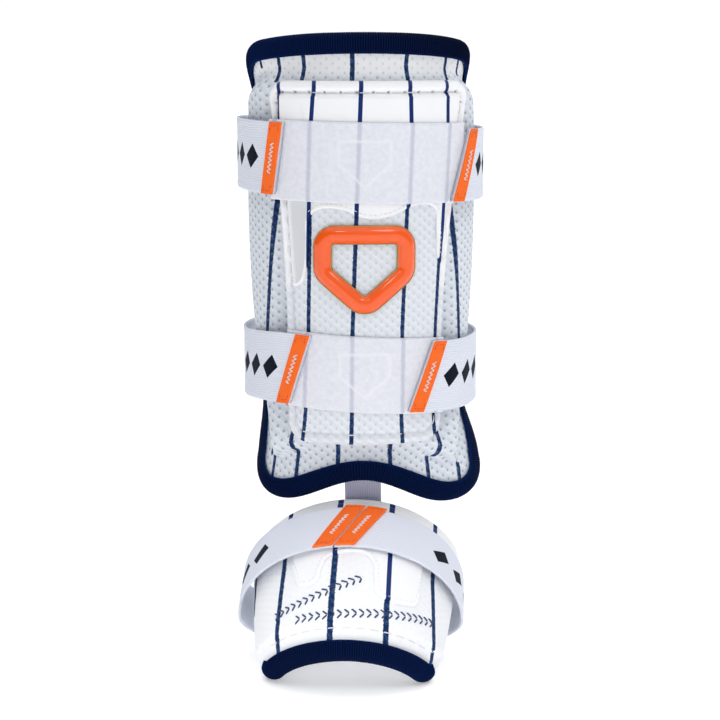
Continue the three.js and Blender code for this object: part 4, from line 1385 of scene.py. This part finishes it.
def overlay_sewing(name, wave, surface, base, inset):
    """Fine stitches along the inside of an overlay's wavy edge."""
    edge = smooth_path(wave, 240)
    line = edge - outward(edge, False) * inset
    starts, ends = stitch_ends(line, pitch=2.6, share=0.78)

    def top(across, up):
        """Outer face of the overlay."""
        return base(across, up) + GAP + LEATHER

    return thread_piece(
        name, starts, ends, surface, top, WHITE_THREAD, radius=0.2, lift=0.05, bury=0.4,
    )


def toe_sewing():
    """Stitches in the seam across the toe."""
    x = np.linspace(-43, 43, 80)
    path = np.stack([x, FOOT_PAD["seam"] + 0 * x], axis=-1)
    starts, ends = stitch_ends(path, pitch=6.5, share=0.82)
    return thread_piece(
        "toe_sewing", starts, ends, on_foot, foot_height, WHITE_THREAD,
        radius=0.34, lift=0.25, bury=1.0,
    )


# Rows of chevron stitches: start, end and sag
BALL_ROWS = (((-36, 31), (6, 46), 3.0), ((-24, 24), (43, 33), 3.5))
CHEVRON = dict(length=2.4, half=2.6)


def ball_seam():
    """Two rising rows of dark chevron stitches, as on the seam of a ball."""
    rows = []
    for (x0, y0), (x1, y1), sag in BALL_ROWS:
        t = np.linspace(0, 1, 60)
        line = np.stack([x0 + (x1 - x0) * t, y0 + (y1 - y0) * t - sag * np.sin(math.pi * t)], axis=-1)
        middles, ahead = stitch_ends(line, pitch=3.3, share=0.9)
        along = unit(ahead - middles)
        beside = right_of(along) * CHEVRON["half"]
        tips = middles + along * CHEVRON["length"]
        rows += [(middles + beside, tips), (middles - beside, tips)]
    starts, ends = (np.concatenate([row[k] for row in rows]) for k in (0, 1))
    return thread_piece(
        "ball_seam", starts, ends, on_foot, foot_height, NAVY_THREAD,
        radius=0.42, lift=0.22, bury=0.7,
    )


# Build
shin_pad()
shin_plate()
foot_pad()
shin_edge = even_loop(SHIN_PANEL.outline, 600)
shin_tape = tape_piece(
    "shin_binding", shin_edge, True, TAPE["width"], PAD["flange"], on_pad, inner_steps=2,
)
toe_edge = FOOT_PANEL.bottom_edge[FOOT_PANEL.bottom_edge[:, 1] < FOOT_PAD["tape_up_to"]]
toe_tape = tape_piece(
    "foot_binding", toe_edge, False, TAPE["foot_width"], FOOT_PAD["flange"], on_foot, inner_steps=10,
)

plate_top = PLATE_TOP["up"] - PLATE["stitch"] - 0.3
plate_leather = overlay_piece(
    "plate_overlay", PLATE_WAVE, plate_top, plate_reach, on_plate, plate_height, plate_stripe,
    columns=181, rows=91,
)
foot_leather = overlay_piece(
    "foot_overlay", FOOT_WAVE, FOOT_LEATHER_TOP, foot_reach, on_foot, foot_height, foot_stripe,
    columns=141, rows=41,
)
upper_band = band_piece("upper_band", UPPER_BAND, PLATE_FACE + 2 * GAP + LEATHER)
lower_band = band_piece("lower_band", LOWER_BAND, PLATE_FACE + GAP)
badge_piece()

upper_strap, upper_length = calf_strap("upper_strap", UPPER)
lower_strap, lower_length = calf_strap("lower_strap", LOWER)
instep_strap, instep_length = foot_strap()
upper_tabs = calf_tabs("upper_tab", UPPER)
lower_tabs = calf_tabs("lower_tab", LOWER)
foot_tabs = tab_piece("foot_tab_left", foot_tab_surface(-1), FOOT_TAB, FOOT_STRAP["width"])
foot_tabs += tab_piece("foot_tab_right", foot_tab_surface(1), FOOT_TAB, FOOT_STRAP["width"])
web, web_length = ankle_link()

plate_sewing()
toe_sewing()
ball_seam()
plate_edge = overlay_sewing("plate_overlay_sewing", PLATE_WAVE, on_plate, plate_height, inset=2.2)
foot_edge = overlay_sewing("foot_overlay_sewing", FOOT_WAVE, on_foot, foot_height, inset=2.0)

# What each cloth piece was cut to
shin_tape_length = lengths_along(np.concatenate([shin_edge, shin_edge[:1]]))[-1]
lengths_along(toe_edge)[-1] * MM
upper_length * MM
lower_length * MM
instep_length * MM
web_length * MM


# Stage
FLOOR_REACH = 40.0


def floor():
    """Wide pale floor under the toe edge and the sole strap."""
    low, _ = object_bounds()
    corners = [(x * FLOOR_REACH, y * FLOOR_REACH, low.z) for x, y in ((-1, -1), (1, -1), (1, 1), (-1, 1))]
    mesh = bpy.data.meshes.new("floor")
    mesh.from_pydata(corners, [], [(0, 1, 2, 3)])
    paper = Finish("floor_paper", Base_Color=paint(250, 250, 250), Roughness=0.9)
    paper.set(Emission_Color=(1, 1, 1, 1), Emission_Strength=0.3)
    mesh.materials.append(paper.material)
    ground = add_object("floor", mesh)
    ground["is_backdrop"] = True


def aim_object(name, data, place, ahead):
    """New object at a place in metres, looking ahead along a direction."""
    holder = add_object(name, data)
    holder.location = place
    holder.rotation_mode = "QUATERNION"
    holder.rotation_quaternion = ahead.to_track_quat("-Z", "Y")
    return holder


def area_light(name, place, aim, size, power, spread):
    """Soft lamp at a place, turned to a point, both in metres, with its spread in degrees."""
    lamp = bpy.data.lights.new(name, "AREA")
    lamp.shape, lamp.size, lamp.energy = "DISK", size, power
    lamp.spread = math.radians(spread)
    aim_object(name, lamp, place, Vector(aim) - Vector(place))


def camera():
    """Camera at the photograph's viewing angle."""
    azimuth, pitch = math.radians(CAMERA_AZIMUTH), math.radians(CAMERA_PITCH)
    level = math.cos(pitch)
    ahead = Vector((-math.sin(azimuth) * level, math.cos(azimuth) * level, -math.sin(pitch)))
    lens = bpy.data.cameras.new("camera")
    lens.lens, lens.sensor_width = CAMERA_LENS, CAMERA_FRAME
    bpy.context.scene.camera = aim_object("camera", lens, CAMERA_PLACE, ahead)


def daylight():
    """Faintly blue surroundings, white behind, dimmer in front, brightest overhead, and darker on the left
    than on the right."""
    world = bpy.data.worlds.new("surroundings")
    world.use_nodes = True
    nodes = Nodes(world.node_tree)
    coords = nodes.node("ShaderNodeTexCoord", {}, {})
    parts = nodes.node("ShaderNodeSeparateXYZ", {}, {0: Value(nodes, coords.outputs["Generated"])})
    x, y, z = (Value(nodes, socket) for socket in parts.outputs)
    level = DAYLIGHT["front"] + nodes.smooth(y, -0.3, 0.2) * (DAYLIGHT["back"] - DAYLIGHT["front"])
    level = level + nodes.smooth(z, 0.25, 1.0) * DAYLIGHT["overhead"]
    left = nodes.smooth(x * -1, 0.0, 0.65) * DAYLIGHT["left_loss"]
    right = nodes.smooth(x, 0.3, 0.95) * DAYLIGHT["right_loss"]
    spared = (1 - nodes.smooth(y, 0.8, 0.95)) * (1 - nodes.smooth(z, 0.45, 0.95))
    level = level * (1 - (left + right) * spared)
    background = world.node_tree.nodes["Background"]
    nodes.plug(background.inputs["Strength"], level)
    nodes.plug(background.inputs["Color"], DAYLIGHT_TINT)
    bpy.context.scene.world = world


floor()
camera()
daylight()
area_light("key", (0.5, -1.0, 1.4), (0, 0, 0), size=0.6, power=4, spread=180)
area_light("glint", (-0.25, -0.6, 0.55), (0, -0.06, 0.02), size=0.08, power=0.32, spread=180)
area_light("low_fill", (-0.2, -0.48, -0.1), (-0.03, -0.12, -0.2), size=0.15, power=0.05, spread=44)
bpy.context.scene.view_settings.view_transform = "Standard"
